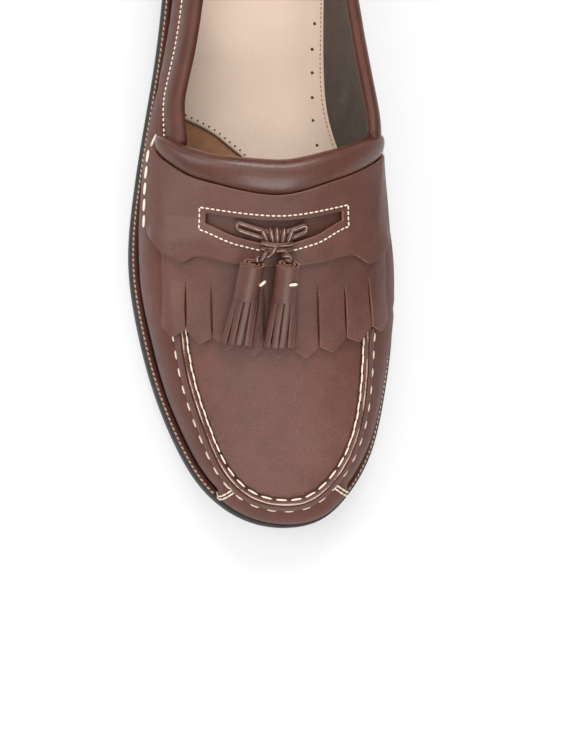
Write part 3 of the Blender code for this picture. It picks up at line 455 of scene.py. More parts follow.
class Last:
    """The shoe's form, worked out from its sizes as a shoemaker's last gives it."""

    def __init__(self, sizes):
        self.length = sizes.shoe_length
        self.ball = sizes.ball_width
        self.instep = sizes.instep_height
        self.heel = sizes.heel_height
        self.sole = sizes.sole_thickness
        self.spring = sizes.toe_spring
        self.wall_thickness = sizes.wall
        self.values = np.array([self.rib_row(rib) for rib in RIBS])
        gaps = np.linalg.norm(np.roll(self.values[:, :2], -1, 0) - self.values[:, :2], axis=1)
        self.knots = np.concatenate([[0.0], np.cumsum(gaps)]) / gaps.sum()
        self.slopes = closed_spline_slopes(self.knots, self.values)
        self.welt_turns = (self.outline_turn(-1, WELT_ENDS[0]), self.outline_turn(1, WELT_ENDS[1]))
        turns = np.linspace(0.0, 1.0, 2881)
        tops = self.ribs(turns)[:, 3]
        tip = int(np.argmin(tops))
        self.sides = {-1: (turns[: tip + 1][::-1], tops[: tip + 1][::-1]), 1: (turns[tip:], tops[tip:])}
        self.tip_y = float(tops[tip])
        self.across_grid()

    def rib_row(self, rib):
        foot = (rib.across * self.ball, (0.5 - rib.along) * self.length)
        top = (rib.top_across * self.ball, (0.5 - rib.top_along) * self.length, rib.top_up * self.instep)
        return (*foot, *top, math.radians(rib.flare), math.radians(rib.lean))

    def y(self, along):
        return (0.5 - np.asarray(along)) * self.length

    def ribs(self, turns):
        """Rib values at turns, from 0 at the heel's back along the lateral side to the toe and back to 1."""
        turns = np.mod(np.asarray(turns, float), 1.0)
        i = np.clip(np.searchsorted(self.knots, turns, side="right") - 1, 0, len(RIBS) - 1)
        j = (i + 1) % len(RIBS)
        step = (self.knots[i + 1] - self.knots[i])[..., None]
        t = (turns - self.knots[i])[..., None] / step
        value = (2 * t**3 - 3 * t**2 + 1) * self.values[i] + (3 * t**2 - 2 * t**3) * self.values[j]
        return value + step * ((t**3 - 2 * t**2 + t) * self.slopes[i] + (t**3 - t**2) * self.slopes[j])

    def sole_lift(self, y):
        """Height of the outsole's underside above the floor."""
        along = 0.5 - np.asarray(y) / self.length
        stations = [row.along for row in SOLE_PROFILE]
        heel = smooth(along, stations, [row.heel for row in SOLE_PROFILE])
        spring = smooth(along, stations, [row.spring for row in SOLE_PROFILE])
        return self.heel * heel + self.spring * spring

    def sole_top(self, y):
        return self.sole_lift(y) + self.sole

    def outward(self, turns):
        """Level direction out of the sole's outline."""
        step = 0.0005
        ahead = self.ribs(turns + step)[..., :2] - self.ribs(turns - step)[..., :2]
        return unit(np.stack([ahead[..., 1], -ahead[..., 0]], -1))

    def outline(self, turns, inset):
        turns = np.asarray(turns, float)
        return self.ribs(turns)[..., :2] - self.outward(turns) * np.asarray(inset)[..., None]

    def seam(self, turns):
        return self.ribs(turns)[..., 2:5]

    def feather_inset(self, turns):
        """How far inside the sole's edge the wall stands: behind the welt, but further out round the toe."""
        turns = np.mod(turns, 1.0)
        past = np.minimum(turns - self.welt_turns[0], self.welt_turns[1] - turns)
        ease = np.clip((past + TOE_EASE / 4) / TOE_EASE, 0, 1)
        return FEATHER_INSET - WELT_WIDTH * (3 * ease**2 - 2 * ease**3)

    def wall(self, turns, rises):
        """Outer face of the wall: rise 0 at the feather line on the sole, 1 at the top."""
        turns, rises = np.broadcast_arrays(np.asarray(turns, float), np.asarray(rises, float))
        values = self.ribs(turns)
        way = self.outward(turns)
        flat = self.outline(turns, self.feather_inset(turns))
        foot = np.concatenate([flat, (self.sole_top(flat[..., 1]) + CLEARANCE)[..., None]], -1)
        knee = foot + np.array([0, 0, WELT_HEIGHT + CLEARANCE])
        top = values[..., 2:5]
        flare = values[..., 5:6]
        lean = values[..., 6:7]
        pull = WALL_PULL * np.linalg.norm(top - knee, axis=-1, keepdims=True)
        low = knee + pull * np.concatenate([way * np.sin(flare), np.cos(flare)], -1)
        high = top + pull * np.concatenate([way * np.sin(lean), -np.cos(lean)], -1)
        t = np.clip((rises - KNEE_RISE) / (1 - KNEE_RISE), 0, None)[..., None]
        curve = (1 - t) ** 3 * knee + 3 * t * (1 - t) ** 2 * low + 3 * t**2 * (1 - t) * high + t**3 * top
        straight = foot + (knee - foot) * (rises / KNEE_RISE)[..., None]
        return np.where((rises < KNEE_RISE)[..., None], straight, curve)

    def side_turn(self, side, y):
        """Turn at which the wall's top passes y, on the lateral (-1) or medial (1) side."""
        turns, tops = self.sides[side]
        return np.interp(y, tops, turns)

    def crest(self, y):
        along = 0.5 - np.asarray(y) / self.length
        return self.instep * smooth(along, [row.along for row in CRESTS], [row.up for row in CRESTS])

    def skin(self, y, reach):
        """Outer face of the whole forefoot: reach 0 on the ridge, -1 and 1 at the seams, past them the
        walls."""
        y, reach = np.broadcast_arrays(np.asarray(y, float), np.asarray(reach, float))
        left = self.seam(self.side_turn(-1, y))
        right = self.seam(self.side_turn(1, y))
        inner = np.clip(reach, -1, 1)
        point = left + (right - left) * ((inner + 1) / 2)[..., None]
        crown = np.maximum(self.crest(y) - (left[..., 2] + right[..., 2]) / 2, 0)
        point[..., 2] += crown * (1 - np.abs(inner) ** CROWN_POWER)
        turns = np.where(reach < 0, self.side_turn(-1, y), self.side_turn(1, y))
        down = self.wall(turns, np.clip(2 - np.abs(reach), 0, 1))
        return np.where((np.abs(reach) > 1)[..., None], down, point)

    def across_grid(self):
        """Reach for each distance across the skin, in rows along the shoe."""
        self.grid_y = np.linspace(self.tip_y + 0.001, float(self.y(0.42)), 180)
        self.grid_across = np.linspace(-0.098, 0.098, 393)
        reaches = np.linspace(-1.9, 1.9, 191)
        points = self.skin(self.grid_y[:, None], reaches[None, :])
        steps = np.linalg.norm(np.diff(points, axis=1), axis=2)
        walked = np.concatenate([np.zeros((len(self.grid_y), 1)), np.cumsum(steps, axis=1)], axis=1)
        rows = [np.interp(self.grid_across, row - np.interp(0, reaches, row), reaches) for row in walked]
        self.grid_reach = np.array(rows)
        rows = [np.interp([-1.0, 1.0], reaches, row - np.interp(0, reaches, row)) for row in walked]
        self.grid_seam = np.array(rows)

    def reach(self, y, across):
        """Reach of a distance across the skin at y."""
        y, across = np.broadcast_arrays(np.asarray(y, float), np.asarray(across, float))
        row = (y - self.grid_y[0]) / (self.grid_y[1] - self.grid_y[0])
        column = (across - self.grid_across[0]) / (self.grid_across[1] - self.grid_across[0])
        row = np.clip(row, 0, len(self.grid_y) - 1.001)
        column = np.clip(column, 0, len(self.grid_across) - 1.001)
        i = row.astype(int)
        j = column.astype(int)
        u = row - i
        v = column - j
        table = self.grid_reach
        low = table[i, j] * (1 - v) + table[i, j + 1] * v
        high = table[i + 1, j] * (1 - v) + table[i + 1, j + 1] * v
        return low * (1 - u) + high * u

    def seam_across(self, side, y):
        """Distance from the ridge to the seam."""
        return np.interp(y, self.grid_y, self.grid_seam[:, 0 if side < 0 else 1])

    def normal(self, y, reach):
        side = self.skin(y, reach + 0.02) - self.skin(y, reach - 0.02)
        ahead = self.skin(y + 0.002, reach) - self.skin(y - 0.002, reach)
        return unit(np.cross(side, ahead))

    def lay(self, y, across, lift):
        """Point at a distance across from the ridge, lifted off the skin along its normal."""
        y, across, lift = np.broadcast_arrays(*[np.asarray(part, float) for part in (y, across, lift)])
        reach = self.reach(y, across)
        return self.skin(y, reach) + self.normal(y, reach) * lift[..., None]

    def edge_y(self, edges, across):
        """y of a pattern edge at a distance across."""
        shares = np.asarray(across) / self.ball
        along = smooth(shares, [edge.across for edge in edges], [edge.along for edge in edges])
        return self.y(along)

    def seam_frame(self, turns):
        """Top of the wall, the ends of the seam's two sides, and the way off both."""
        top = self.seam(turns)
        way = self.outward(turns)
        run = SEAM_WIDTH / 2
        flat = top[:, :2] - way * run
        inner_y = np.maximum(flat[:, 1], self.tip_y + 0.0002)
        left = self.seam(self.side_turn(-1, inner_y))[:, 0]
        right = self.seam(self.side_turn(1, inner_y))[:, 0]
        reach = np.clip((2 * flat[:, 0] - left - right) / (right - left), -1, 1)
        inner = np.column_stack([flat, self.skin(inner_y, reach)[:, 2]])
        wall_length = np.linalg.norm(top - self.wall(turns, 0.9), axis=1) / 0.1
        outer = self.wall(turns, 1 - run / wall_length)
        ahead = self.seam(turns + 0.001) - self.seam(turns - 0.001)
        off = unit(np.cross(ahead, inner - outer))
        off = np.where(off[:, 2:3] < 0, -off, off)
        return top, inner, outer, off

    def outline_turn(self, side, along):
        """Turn at which the sole's outline passes a place along the shoe."""
        turns = np.linspace(0.0, 0.5, 721) if side < 0 else np.linspace(0.5, 1.0, 721)
        ys = self.ribs(turns)[:, 1]
        return float(turns[int(np.argmin(np.abs(ys - self.y(along))))])

    def edges(self, inset, shares, first=None, end=None):
        """Left and right x and the y of the moved-in outline, from the heel's back to the toe's tip."""
        points = self.outline(np.linspace(0.0, 1.0, 1441), np.full(1441, inset))
        tip = int(np.argmin(points[:, 1]))
        rear = points[: tip + 1][::-1]
        front = points[tip:]
        left = rear[: int(np.argmax(rear[:, 1])) + 1]
        right = front[: int(np.argmax(front[:, 1])) + 1]
        back = max(left[-1, 1], right[-1, 1]) if first is None else first
        tip_y = left[0, 1] if end is None else end
        y = back + (tip_y - back) * np.asarray(shares)
        return np.interp(y, left[:, 1], left[:, 0]), np.interp(y, right[:, 1], right[:, 0]), y


def current_last():
    """The form for the sizes that the panel holds."""
    return Last(bpy.context.scene.loafer_sizes)


# Modelling helpers

def sheet(points, round_rows=False, round_columns=False, caps=False, marks=None):
    """Grid laid through rows of points; a round one closes on itself, and caps close its open ends."""
    rows, columns = points.shape[:2]
    row_steps = rows if round_rows else rows - 1
    column_steps = columns if round_columns else columns - 1
    form = bmesh.new()
    bmesh.ops.create_grid(form, x_segments=row_steps, y_segments=column_steps, size=0.5)
    spots = np.array([vert.co[:2] for vert in form.verts]) + 0.5
    i = np.rint(spots[:, 0] * row_steps).astype(int) % rows
    j = np.rint(spots[:, 1] * column_steps).astype(int) % columns
    layer = form.verts.layers.float.new("mark") if marks is not None else None
    for vert, row, column in zip(form.verts, i, j):
        vert.co = points[row, column]
        if layer is not None:
            vert[layer] = marks[row, column]
    if round_rows or round_columns:
        bmesh.ops.remove_doubles(form, verts=form.verts, dist=1e-7)
    if caps:
        bmesh.ops.holes_fill(form, edges=[edge for edge in form.edges if edge.is_boundary], sides=0)
    bmesh.ops.recalc_face_normals(form, faces=form.faces)
    return form


def swept(path, ups, profile, closed=False, marks=None):
    """Profile of (across, up) points carried along a path, with its ends capped unless it is closed."""
    ahead = np.roll(path, -1, 0) - np.roll(path, 1, 0)
    if not closed:
        ahead[0] = path[1] - path[0]
        ahead[-1] = path[-1] - path[-2]
    ahead = unit(ahead)
    across = unit(np.cross(ahead, ups))
    up = np.cross(across, ahead)
    points = path[:, None] + across[:, None] * profile[:, :1] + up[:, None] * profile[:, 1:]
    if marks is not None:
        marks = np.broadcast_to(marks, points.shape[:2])
    return sheet(points, round_rows=closed, round_columns=True, caps=not closed, marks=marks)


def oval(wide, thick, sides):
    """Closed oval profile of a width and a thickness."""
    angles = np.arange(sides) * 2 * math.pi / sides
    return np.column_stack([np.cos(angles) * wide / 2, np.sin(angles) * thick / 2])


def add_form(form, other):
    """Adds another form to this one."""
    mesh = bpy.data.meshes.new("joined")
    other.to_mesh(mesh)
    other.free()
    form.from_mesh(mesh)
    bpy.data.meshes.remove(mesh)


def join_all(forms):
    """All the forms as one."""
    first = forms[0]
    for other in forms[1:]:
        add_form(first, other)
    return first


def walked_along(path):
    """Length walked at each point of a path."""
    return np.concatenate([[0.0], np.cumsum(np.linalg.norm(np.diff(path, axis=0), axis=1))])


def stitches(form, path, ups, pitch, size, thick, slant=0.0, sink=0.3, sway=0.0):
    """Sewing thread laid along a path, one capsule for each stitch."""
    walked = walked_along(path)
    count = max(int(round(walked[-1] / pitch)), 1)
    middles = (np.arange(count) + 0.5) * walked[-1] / count
    for k, middle in enumerate(middles):
        spots = np.array([middle - size / 2, middle, middle + size / 2])
        points = np.column_stack([np.interp(spots, walked, part) for part in path.T])
        up = unit(np.array([np.interp(middle, walked, ups[:, axis]) for axis in range(3)]))
        way = points[2] - points[0]
        half = max(np.linalg.norm(way) / 2, 1e-5)
        way = way / (2 * half)
        side = unit(np.cross(up, way))
        way = unit(way * math.cos(slant) + side * math.sin(slant))
        side = unit(np.cross(up, way))
        up = np.cross(way, side)
        centre = (points[0] + points[2]) / 4 + points[1] / 2 + up * thick * (0.5 - sink)
        centre = centre + side * sway * (1 if k % 2 else -1)
        made = bmesh.ops.create_uvsphere(form, u_segments=8, v_segments=6, radius=1.0)["verts"]
        for vert in made:
            x, y, z = vert.co
            z = math.copysign(abs(z) ** 0.7, z)
            vert.co = centre + side * x * thick * 0.52 + up * y * thick / 2 + way * z * half
    return form


def nearest_on_path(path, points):
    """Smallest distance from each point to a short path, with how far along the path it falls."""
    best = np.full(points.shape[:-1], 1e9)
    share = np.zeros(points.shape[:-1])
    count = len(path) - 1
    for k in range(count):
        start = path[k]
        run = path[k + 1] - start
        t = np.clip(((points - start) @ run) / max(run @ run, 1e-12), 0, 1)
        distance = np.linalg.norm(points - (start + t[..., None] * run), axis=-1)
        nearer = distance < best
        best = np.where(nearer, distance, best)
        share = np.where(nearer, (k + t) / count, share)
    return best, share


def crease(points, path, wide, deep):
    """Depth of a soft trough with a low ridge beside it, along a path."""
    distance, share = nearest_on_path(path, points)
    fade = np.sin(np.clip(share, 0, 1) * math.pi) ** 0.6
    wide = wide * MM
    trough = np.exp(-((distance / wide) ** 2))
    ridge = np.exp(-(((distance - 1.9 * wide) / (0.9 * wide)) ** 2))
    return (0.38 * ridge - trough) * deep * MM * fade


def waves(points, size, height):
    """Slow unevenness of stretched leather, a sum of a few long waves."""
    x, y, z = (points[..., axis] / size for axis in range(3))
    value = np.sin(x * 2.1 + 1.3 * np.sin(y * 1.7 + z)) + np.sin(y * 2.7 - 0.8 * x + 2.1 * z)
    value = value + np.sin(3.3 * z + 1.9 * x - 1.2 * y + 0.7)
    return value / 3 * height


def face_up(form):
    """Turns the faces of an open sheet so that they look up."""
    if sum(face.normal.z * face.calc_area() for face in form.faces) < 0:
        bmesh.ops.reverse_faces(form, faces=form.faces)


def make_piece(name, form, materials, nodes=()):
    """Turns a form into a finished piece that rides on the shoe and stands for the named nodes."""
    mesh = bpy.data.meshes.new(name)
    form.to_mesh(mesh)
    form.free()
    piece = bpy.data.objects.new(name, mesh)
    bpy.context.scene.collection.objects.link(piece)
    for finish in materials:
        mesh.materials.append(bpy.data.materials[finish])
    mesh.polygons.foreach_set("use_smooth", [True] * len(mesh.polygons))
    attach(piece, "root")
    if nodes:
        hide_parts(*nodes)
    return piece


def thicken(piece, thickness, offset, rim=0, inside=0):
    """Gives a sheet its thickness: offset 1 grows outwards, -1 inwards; rim and inside pick materials."""
    solidify = piece.modifiers.new("thickness", "SOLIDIFY")
    solidify.thickness = thickness
    solidify.offset = offset
    solidify.use_even_offset = True
    solidify.material_offset = inside
    solidify.material_offset_rim = rim
    return solidify


def soften(piece, width):
    """Rounds the sharp edges of a cut piece of leather."""
    bevel = piece.modifiers.new("soft edge", "BEVEL")
    bevel.width = width
    bevel.segments = 2
    bevel.limit_method = "ANGLE"
    bevel.angle_limit = math.radians(50)


# Materials

def node(tree, kind, sockets=None, **settings):
    """Adds a node, gives it its settings, and fills its sockets with values or links."""
    item = tree.nodes.new("ShaderNode" + kind)
    for key, value in settings.items():
        setattr(item, key, value)
    for key, value in (sockets or {}).items():
        if isinstance(value, bpy.types.NodeSocket):
            tree.links.new(value, item.inputs[key])
        else:
            item.inputs[key].default_value = value
    return item


def new_finish(name):
    """A new material, with its tree, its shader and the place on the shoe that its patterns read."""
    finish = bpy.data.materials.new(name)
    finish.use_nodes = True
    tree = finish.node_tree
    shader = tree.nodes["Principled BSDF"]
    place = node(tree, "TexCoord").outputs["Object"]
    return tree, shader, place


def opaque(linear, share=1.0):
    """A linear colour, darker or lighter by a share, with its alpha."""
    return (*[min(part * share, 1.0) for part in linear], 1.0)


def tinted(linear, share):
    """A linear colour, darker or lighter by a share."""
    return opaque(linear, share)[:3]


def leather(name, base, worn, roughness, coat, grain_mm=1.1, patches=0.5, shine=0.5):
    """Oiled, drum-dyed cowhide: a fine pebble, darker pores, and paler places where it is stretched."""
    tree, shader, place = new_finish(name)
    cloud = node(
        tree, "TexNoise", {"Vector": place, "Scale": 1 / (34 * MM), "Detail": 3.0, "Roughness": 0.55}
    )
    spots = node(
        tree, "TexNoise", {"Vector": place, "Scale": 1 / (7 * MM), "Detail": 5.0, "Roughness": 0.62}
    )
    speck = node(
        tree, "TexNoise", {"Vector": place, "Scale": 1 / (1.1 * MM), "Detail": 2.0, "Roughness": 0.6}
    )
    mixed = node(tree, "Math", {0: cloud.outputs[0], 1: 0.62}, operation="MULTIPLY")
    mixed = node(
        tree, "Math", {0: spots.outputs[0], 1: 0.38, 2: mixed.outputs[0]}, operation="MULTIPLY_ADD"
    )
    share = node(tree, "MapRange", {"Value": mixed.outputs[0], "From Min": 0.36, "From Max": 0.66})
    tone = node(
        tree, "Mix", {0: share.outputs[0], 6: opaque(base, 1 - 0.28 * patches), 7: opaque(worn)},
        data_type="RGBA",
    )
    fine = node(
        tree, "MapRange", {"Value": speck.outputs[0], "From Min": 0.42, "From Max": 0.72, "To Max": 0.32}
    )
    tone = node(
        tree, "Mix", {0: fine.outputs[0], 6: tone.outputs[2], 7: opaque(base, 0.62)}, data_type="RGBA"
    )
    cells = node(
        tree, "TexVoronoi", {"Vector": place, "Scale": 1 / (grain_mm * MM), "Randomness": 1.0},
        feature="DISTANCE_TO_EDGE",
    )
    groove = node(
        tree, "MapRange", {"Value": cells.outputs["Distance"], "From Max": 0.16},
        interpolation_type="SMOOTHSTEP",
    )
    pores = node(
        tree, "TexNoise", {"Vector": place, "Scale": 1 / (0.55 * MM), "Detail": 3.0, "Roughness": 0.6}
    )
    height = node(
        tree, "Math", {0: pores.outputs[0], 1: 0.55, 2: groove.outputs[0]}, operation="MULTIPLY_ADD"
    )
    bump = node(tree, "Bump", {"Height": height.outputs[0], "Strength": 0.5, "Distance": 0.00006})
    wrinkle = node(
        tree, "TexNoise", {"Vector": place, "Scale": 1 / (4.5 * MM), "Detail": 4.0, "Distortion": 0.6}
    )
    bump = node(
        tree, "Bump",
        {"Height": wrinkle.outputs[0], "Strength": 0.28, "Distance": 0.0004, "Normal": bump.outputs[0]},
    )
    gloss = node(
        tree, "MapRange",
        {"Value": spots.outputs[0], "From Min": 0.3, "From Max": 0.7, "To Min": roughness - 0.05,
         "To Max": roughness + 0.09},
    )
    tree.links.new(tone.outputs[2], shader.inputs["Base Color"])
    tree.links.new(gloss.outputs[0], shader.inputs["Roughness"])
    tree.links.new(bump.outputs[0], shader.inputs["Normal"])
    shader.inputs["IOR"].default_value = 1.48
    shader.inputs["Coat Weight"].default_value = coat
    shader.inputs["Coat Roughness"].default_value = 0.28
    shader.inputs["Specular IOR Level"].default_value = shine
    shader.inputs["Coat IOR"].default_value = 1.45
    return tree, shader, place


def edged_leather(name, base, worn, edge, roughness, coat, broken=0.35, span=0.9):
    """The same hide, with a pale cut edge that is partly a painted highlight where the piece's mark is 1, and
    painted shade in a groove where it is -1.
    """
    tree, shader, place = leather(name, base, worn, roughness, coat, grain_mm=0.9, patches=0.3)
    mark = node(tree, "Attribute", attribute_name="mark")
    rough = node(tree, "TexNoise", {"Vector": place, "Scale": 1 / (span * MM), "Detail": 2.0})
    # Pale edge where the mark is high, partly a painted highlight, broken by noise
    cut = node(
        tree, "Math", {0: rough.outputs[0], 1: -broken, 2: mark.outputs["Fac"]}, operation="MULTIPLY_ADD"
    )
    cut = node(tree, "MapRange", {"Value": cut.outputs[0], "From Min": 0.42, "From Max": 0.62})
    tone = shader.inputs["Base Color"].links[0].from_socket
    tone = node(tree, "Mix", {0: cut.outputs[0], 6: tone, 7: opaque(edge)}, data_type="RGBA")
    # Painted shade where the mark is negative, in the seam's cut and beside its inner thread
    groove_shade = node(tree, "MapRange", {"Value": mark.outputs["Fac"], "From Min": -0.2, "From Max": -0.9})
    dark = opaque(base, 0.16)
    tone = node(tree, "Mix", {0: groove_shade.outputs[0], 6: tone.outputs[2], 7: dark}, data_type="RGBA")
    tree.links.new(tone.outputs[2], shader.inputs["Base Color"])


def cut_edge(name, base, deep):
    """Raw cut edge of vegetable-dyed hide: fibrous, matt and paler than the face."""
    tree, shader, place = new_finish(name)
    fibre = node(
        tree, "TexNoise", {"Vector": place, "Scale": 1 / (0.8 * MM), "Detail": 4.0, "Roughness": 0.7}
    )
    cloud = node(tree, "TexNoise", {"Vector": place, "Scale": 1 / (9 * MM), "Detail": 2.0})
    share = node(tree, "Math", {0: fibre.outputs[0], 1: 0.6, 2: cloud.outputs[0]}, operation="MULTIPLY_ADD")
    share = node(tree, "MapRange", {"Value": share.outputs[0], "From Min": 0.5, "From Max": 1.0})
    tone = node(tree, "Mix", {0: share.outputs[0], 6: opaque(deep), 7: opaque(base)}, data_type="RGBA")
    bump = node(tree, "Bump", {"Height": fibre.outputs[0], "Strength": 0.5, "Distance": 0.0002})
    tree.links.new(tone.outputs[2], shader.inputs["Base Color"])
    tree.links.new(bump.outputs[0], shader.inputs["Normal"])
    shader.inputs["Roughness"].default_value = 0.8
    shader.inputs["IOR"].default_value = 1.45


def napped(name, base, deep, fibre_mm, depth, rough=0.95, sheen=0.25):
    """Suede or brushed lining: short nap that lies in soft patches and scatters light at a low angle."""
    tree, shader, place = new_finish(name)
    nap = node(
        tree, "TexNoise", {"Vector": place, "Scale": 1 / (fibre_mm * MM), "Detail": 5.0, "Roughness": 0.75}
    )
    patch = node(tree, "TexNoise", {"Vector": place, "Scale": 1 / (6 * MM), "Detail": 3.0})
    share = node(tree, "Math", {0: nap.outputs[0], 1: 0.7, 2: patch.outputs[0]}, operation="MULTIPLY_ADD")
    share = node(tree, "MapRange", {"Value": share.outputs[0], "From Min": 0.55, "From Max": 1.1})
    tone = node(tree, "Mix", {0: share.outputs[0], 6: opaque(deep), 7: opaque(base)}, data_type="RGBA")
    bump = node(tree, "Bump", {"Height": nap.outputs[0], "Strength": 0.6, "Distance": depth})
    tree.links.new(tone.outputs[2], shader.inputs["Base Color"])
    tree.links.new(bump.outputs[0], shader.inputs["Normal"])
    shader.inputs["Roughness"].default_value = rough
    shader.inputs["Sheen Weight"].default_value = sheen
    shader.inputs["Sheen Roughness"].default_value = 0.5
    shader.inputs["IOR"].default_value = 1.45


def footbed_leather(name, base):
    """Vegetable-tanned footbed: smooth, nearly matt, with faint pores and rubbed places."""
    tree, shader, place = new_finish(name)
    cloud = node(
        tree, "TexNoise", {"Vector": place, "Scale": 1 / (28 * MM), "Detail": 4.0, "Roughness": 0.55}
    )
    pores = node(
        tree, "TexNoise", {"Vector": place, "Scale": 1 / (0.9 * MM), "Detail": 3.0, "Roughness": 0.65}
    )
    share = node(
        tree, "MapRange", {"Value": cloud.outputs[0], "From Min": 0.35, "From Max": 0.65, "To Max": 0.55}
    )
    tone = node(
        tree, "Mix", {0: share.outputs[0], 6: opaque(base, 0.88), 7: opaque(base, 1.04)}, data_type="RGBA"
    )
    dirt = node(
        tree, "MapRange", {"Value": pores.outputs[0], "From Min": 0.56, "From Max": 0.8, "To Max": 0.22}
    )
    brown = opaque(colour("#b98e70"))
    tone = node(tree, "Mix", {0: dirt.outputs[0], 6: tone.outputs[2], 7: brown}, data_type="RGBA")
    bump = node(tree, "Bump", {"Height": pores.outputs[0], "Strength": 0.25, "Distance": 0.00008})
    tree.links.new(tone.outputs[2], shader.inputs["Base Color"])
    tree.links.new(bump.outputs[0], shader.inputs["Normal"])
    shader.inputs["Roughness"].default_value = 0.62
    shader.inputs["IOR"].default_value = 1.45


def sole_rubber(name, base):
    """Moulded black rubber: even, matt, with fine scuffs and dust that greys its edges."""
    tree, shader, place = new_finish(name)
    dust = node(
        tree, "TexNoise", {"Vector": place, "Scale": 1 / (11 * MM), "Detail": 6.0, "Roughness": 0.65}
    )
    grit = node(tree, "TexNoise", {"Vector": place, "Scale": 1 / (0.7 * MM), "Detail": 2.0})
    share = node(
        tree, "MapRange", {"Value": dust.outputs[0], "From Min": 0.45, "From Max": 0.75, "To Max": 0.5}
    )
    tone = node(
        tree, "Mix", {0: share.outputs[0], 6: opaque(base), 7: opaque(colour("#4a423d"))}, data_type="RGBA"
    )
    gloss = node(tree, "MapRange", {"Value": dust.outputs[0], "To Min": 0.5, "To Max": 0.72})
    bump = node(tree, "Bump", {"Height": grit.outputs[0], "Strength": 0.3, "Distance": 0.0001})
    tree.links.new(tone.outputs[2], shader.inputs["Base Color"])
    tree.links.new(gloss.outputs[0], shader.inputs["Roughness"])
    tree.links.new(bump.outputs[0], shader.inputs["Normal"])
    shader.inputs["IOR"].default_value = 1.52


def sewing_thread(name, base):
    """Waxed polyester thread: pale, with a light twist that is drawn coarser than it is so that it shows."""
    tree, shader, place = new_finish(name)
    fibre = node(tree, "TexNoise", {"Vector": place, "Scale": 1 / (0.45 * MM), "Detail": 3.0})
    share = node(tree, "MapRange", {"Value": fibre.outputs[0], "From Min": 0.35, "From Max": 0.65})
    tone = node(tree, "Mix", {0: share.outputs[0], 6: opaque(base, 0.8), 7: opaque(base)}, data_type="RGBA")
    bump = node(tree, "Bump", {"Height": fibre.outputs[0], "Strength": 0.4, "Distance": 0.00012})
    tree.links.new(tone.outputs[2], shader.inputs["Base Color"])
    tree.links.new(bump.outputs[0], shader.inputs["Normal"])
    shader.inputs["Roughness"].default_value = 0.55
    shader.inputs["Sheen Weight"].default_value = 0.15


class LOAFER_OT_finishes(bpy.types.Operator):
    """Makes the leathers, rubber, linings and thread"""

    bl_idname = "loafer.finishes"
    bl_label = "Finishes"

    def execute(self, context):
        tints = context.scene.loafer_colours
        # Smooth oiled hide of the overlays, and the same hide a little lighter on the apron
        leather("oiled cowhide", tints.leather, tinted(tints.leather, 1.32), 0.42, 0.12)
        leather("apron cowhide", tints.apron, tinted(tints.apron, 1.32), 0.42, 0.12)
        # Side walls, binding and welt have lost some wax and shine less, and the tongue's roll shines most
        leather("side cowhide", tints.panel, tinted(tints.panel, 1.30), 0.52, 0.0, shine=0.25)
        leather("binding calfskin", tints.binding, tinted(tints.binding, 1.35), 0.40, 0.06, 0.8, shine=0.35)
        leather("tongue calfskin", tints.tongue, tinted(tints.tongue, 1.3), 0.30, 0.35, 0.8)
        leather("welt cowhide", tints.welt, tinted(tints.welt, 1.25), 0.55, 0.0, shine=0.3)
        # Lace with its pale raw edges and a painted highlight along its top, and the seam's fold with its cut
        # lip, partly a painted highlight, and painted shade in its cut
        lace = tinted(tints.leather, 0.75)
        edged_leather("lace cowhide", lace, tints.leather, colour("#e0bfa4"), 0.38, 0.2, broken=0.5, span=1.6)
        edged_leather("seam cowhide", tints.panel, tinted(tints.panel, 1.3), colour("#c9a495"), 0.5, 0.0)
        # Edges as the knife leaves them, dyed ones, and those of the tan footbed
        cut_edge("cut edge", tints.raw_edge, tinted(tints.raw_edge, 0.5))
        cut_edge("dyed edge", tinted(tints.raw_edge, 0.45), tinted(tints.raw_edge, 0.2))
        cut_edge("pale cut edge", colour("#d2ab86"), colour("#9c7150"))
        # Inside of the shoe
        napped("brushed lining", tints.lining, tinted(tints.lining, 0.68), 1.1, 0.0004, sheen=0.15)
        napped("suede", tints.suede, tinted(tints.suede, 0.62), 0.8, 0.0003)
        footbed_leather("footbed leather", tints.footbed)
        sole_rubber("moulded rubber", tints.rubber)
        sewing_thread("waxed thread", tints.thread)
        sewing_thread("soiled thread", tinted(tints.thread, 0.62))
        # Painted shade of the footbed's pricked holes, laid on as dark dishes
        cut_edge("pin hole shade", colour("#5c3a2a"), colour("#33201a"))
        return {"FINISHED"}


# Sole

def sole_block(last, loop, shares, under, grooves, groove_reach, end=None):
    """Closed block between points of the outline. A loop point is an inset, a side, a share of the
    height that under gives, and a height added to it."""
    insets = sorted({row[0] for row in loop})
    tables = {inset: last.edges(inset, shares, end=end) for inset in insets}
    points = np.zeros((len(shares), len(loop), 3))
    for k, (inset, side, whole, added) in enumerate(loop):
        left, right, y = tables[inset]
        points[:, k, 0] = left + (right - left) * side
        points[:, k, 1] = y
        points[:, k, 2] = under(y) * whole + added
    for along in grooves:
        y = float(last.y(along))
        left, right, _ = last.edges(0.0, [0.0], first=y)
        near = np.clip((TREAD_WIDTH / 2 - np.abs(points[..., 1] - y)) / 0.0005 + 0.5, 0, 1)
        from_middle = np.abs(points[..., 0] - (left[0] + right[0]) / 2)
        inside = np.clip((groove_reach - from_middle) / 0.0008 + 0.5, 0, 1)
        is_bottom = np.array([0.0 < row[1] < 1.0 and row[3] <= 0.0 for row in loop])
        points[..., 2] += TREAD_DEPTH * near * inside * is_bottom[None, :]
    return sheet(points, round_columns=True, caps=True)


def sole_shares(count, both=True):
    """Shares from 0 to 1 that lie closer together at both ends, or at the first end alone."""
    steps = np.arange(count + 1) / count
    return (1 - np.cos(math.pi * steps)) / 2 if both else 1 - np.cos(math.pi / 2 * steps)


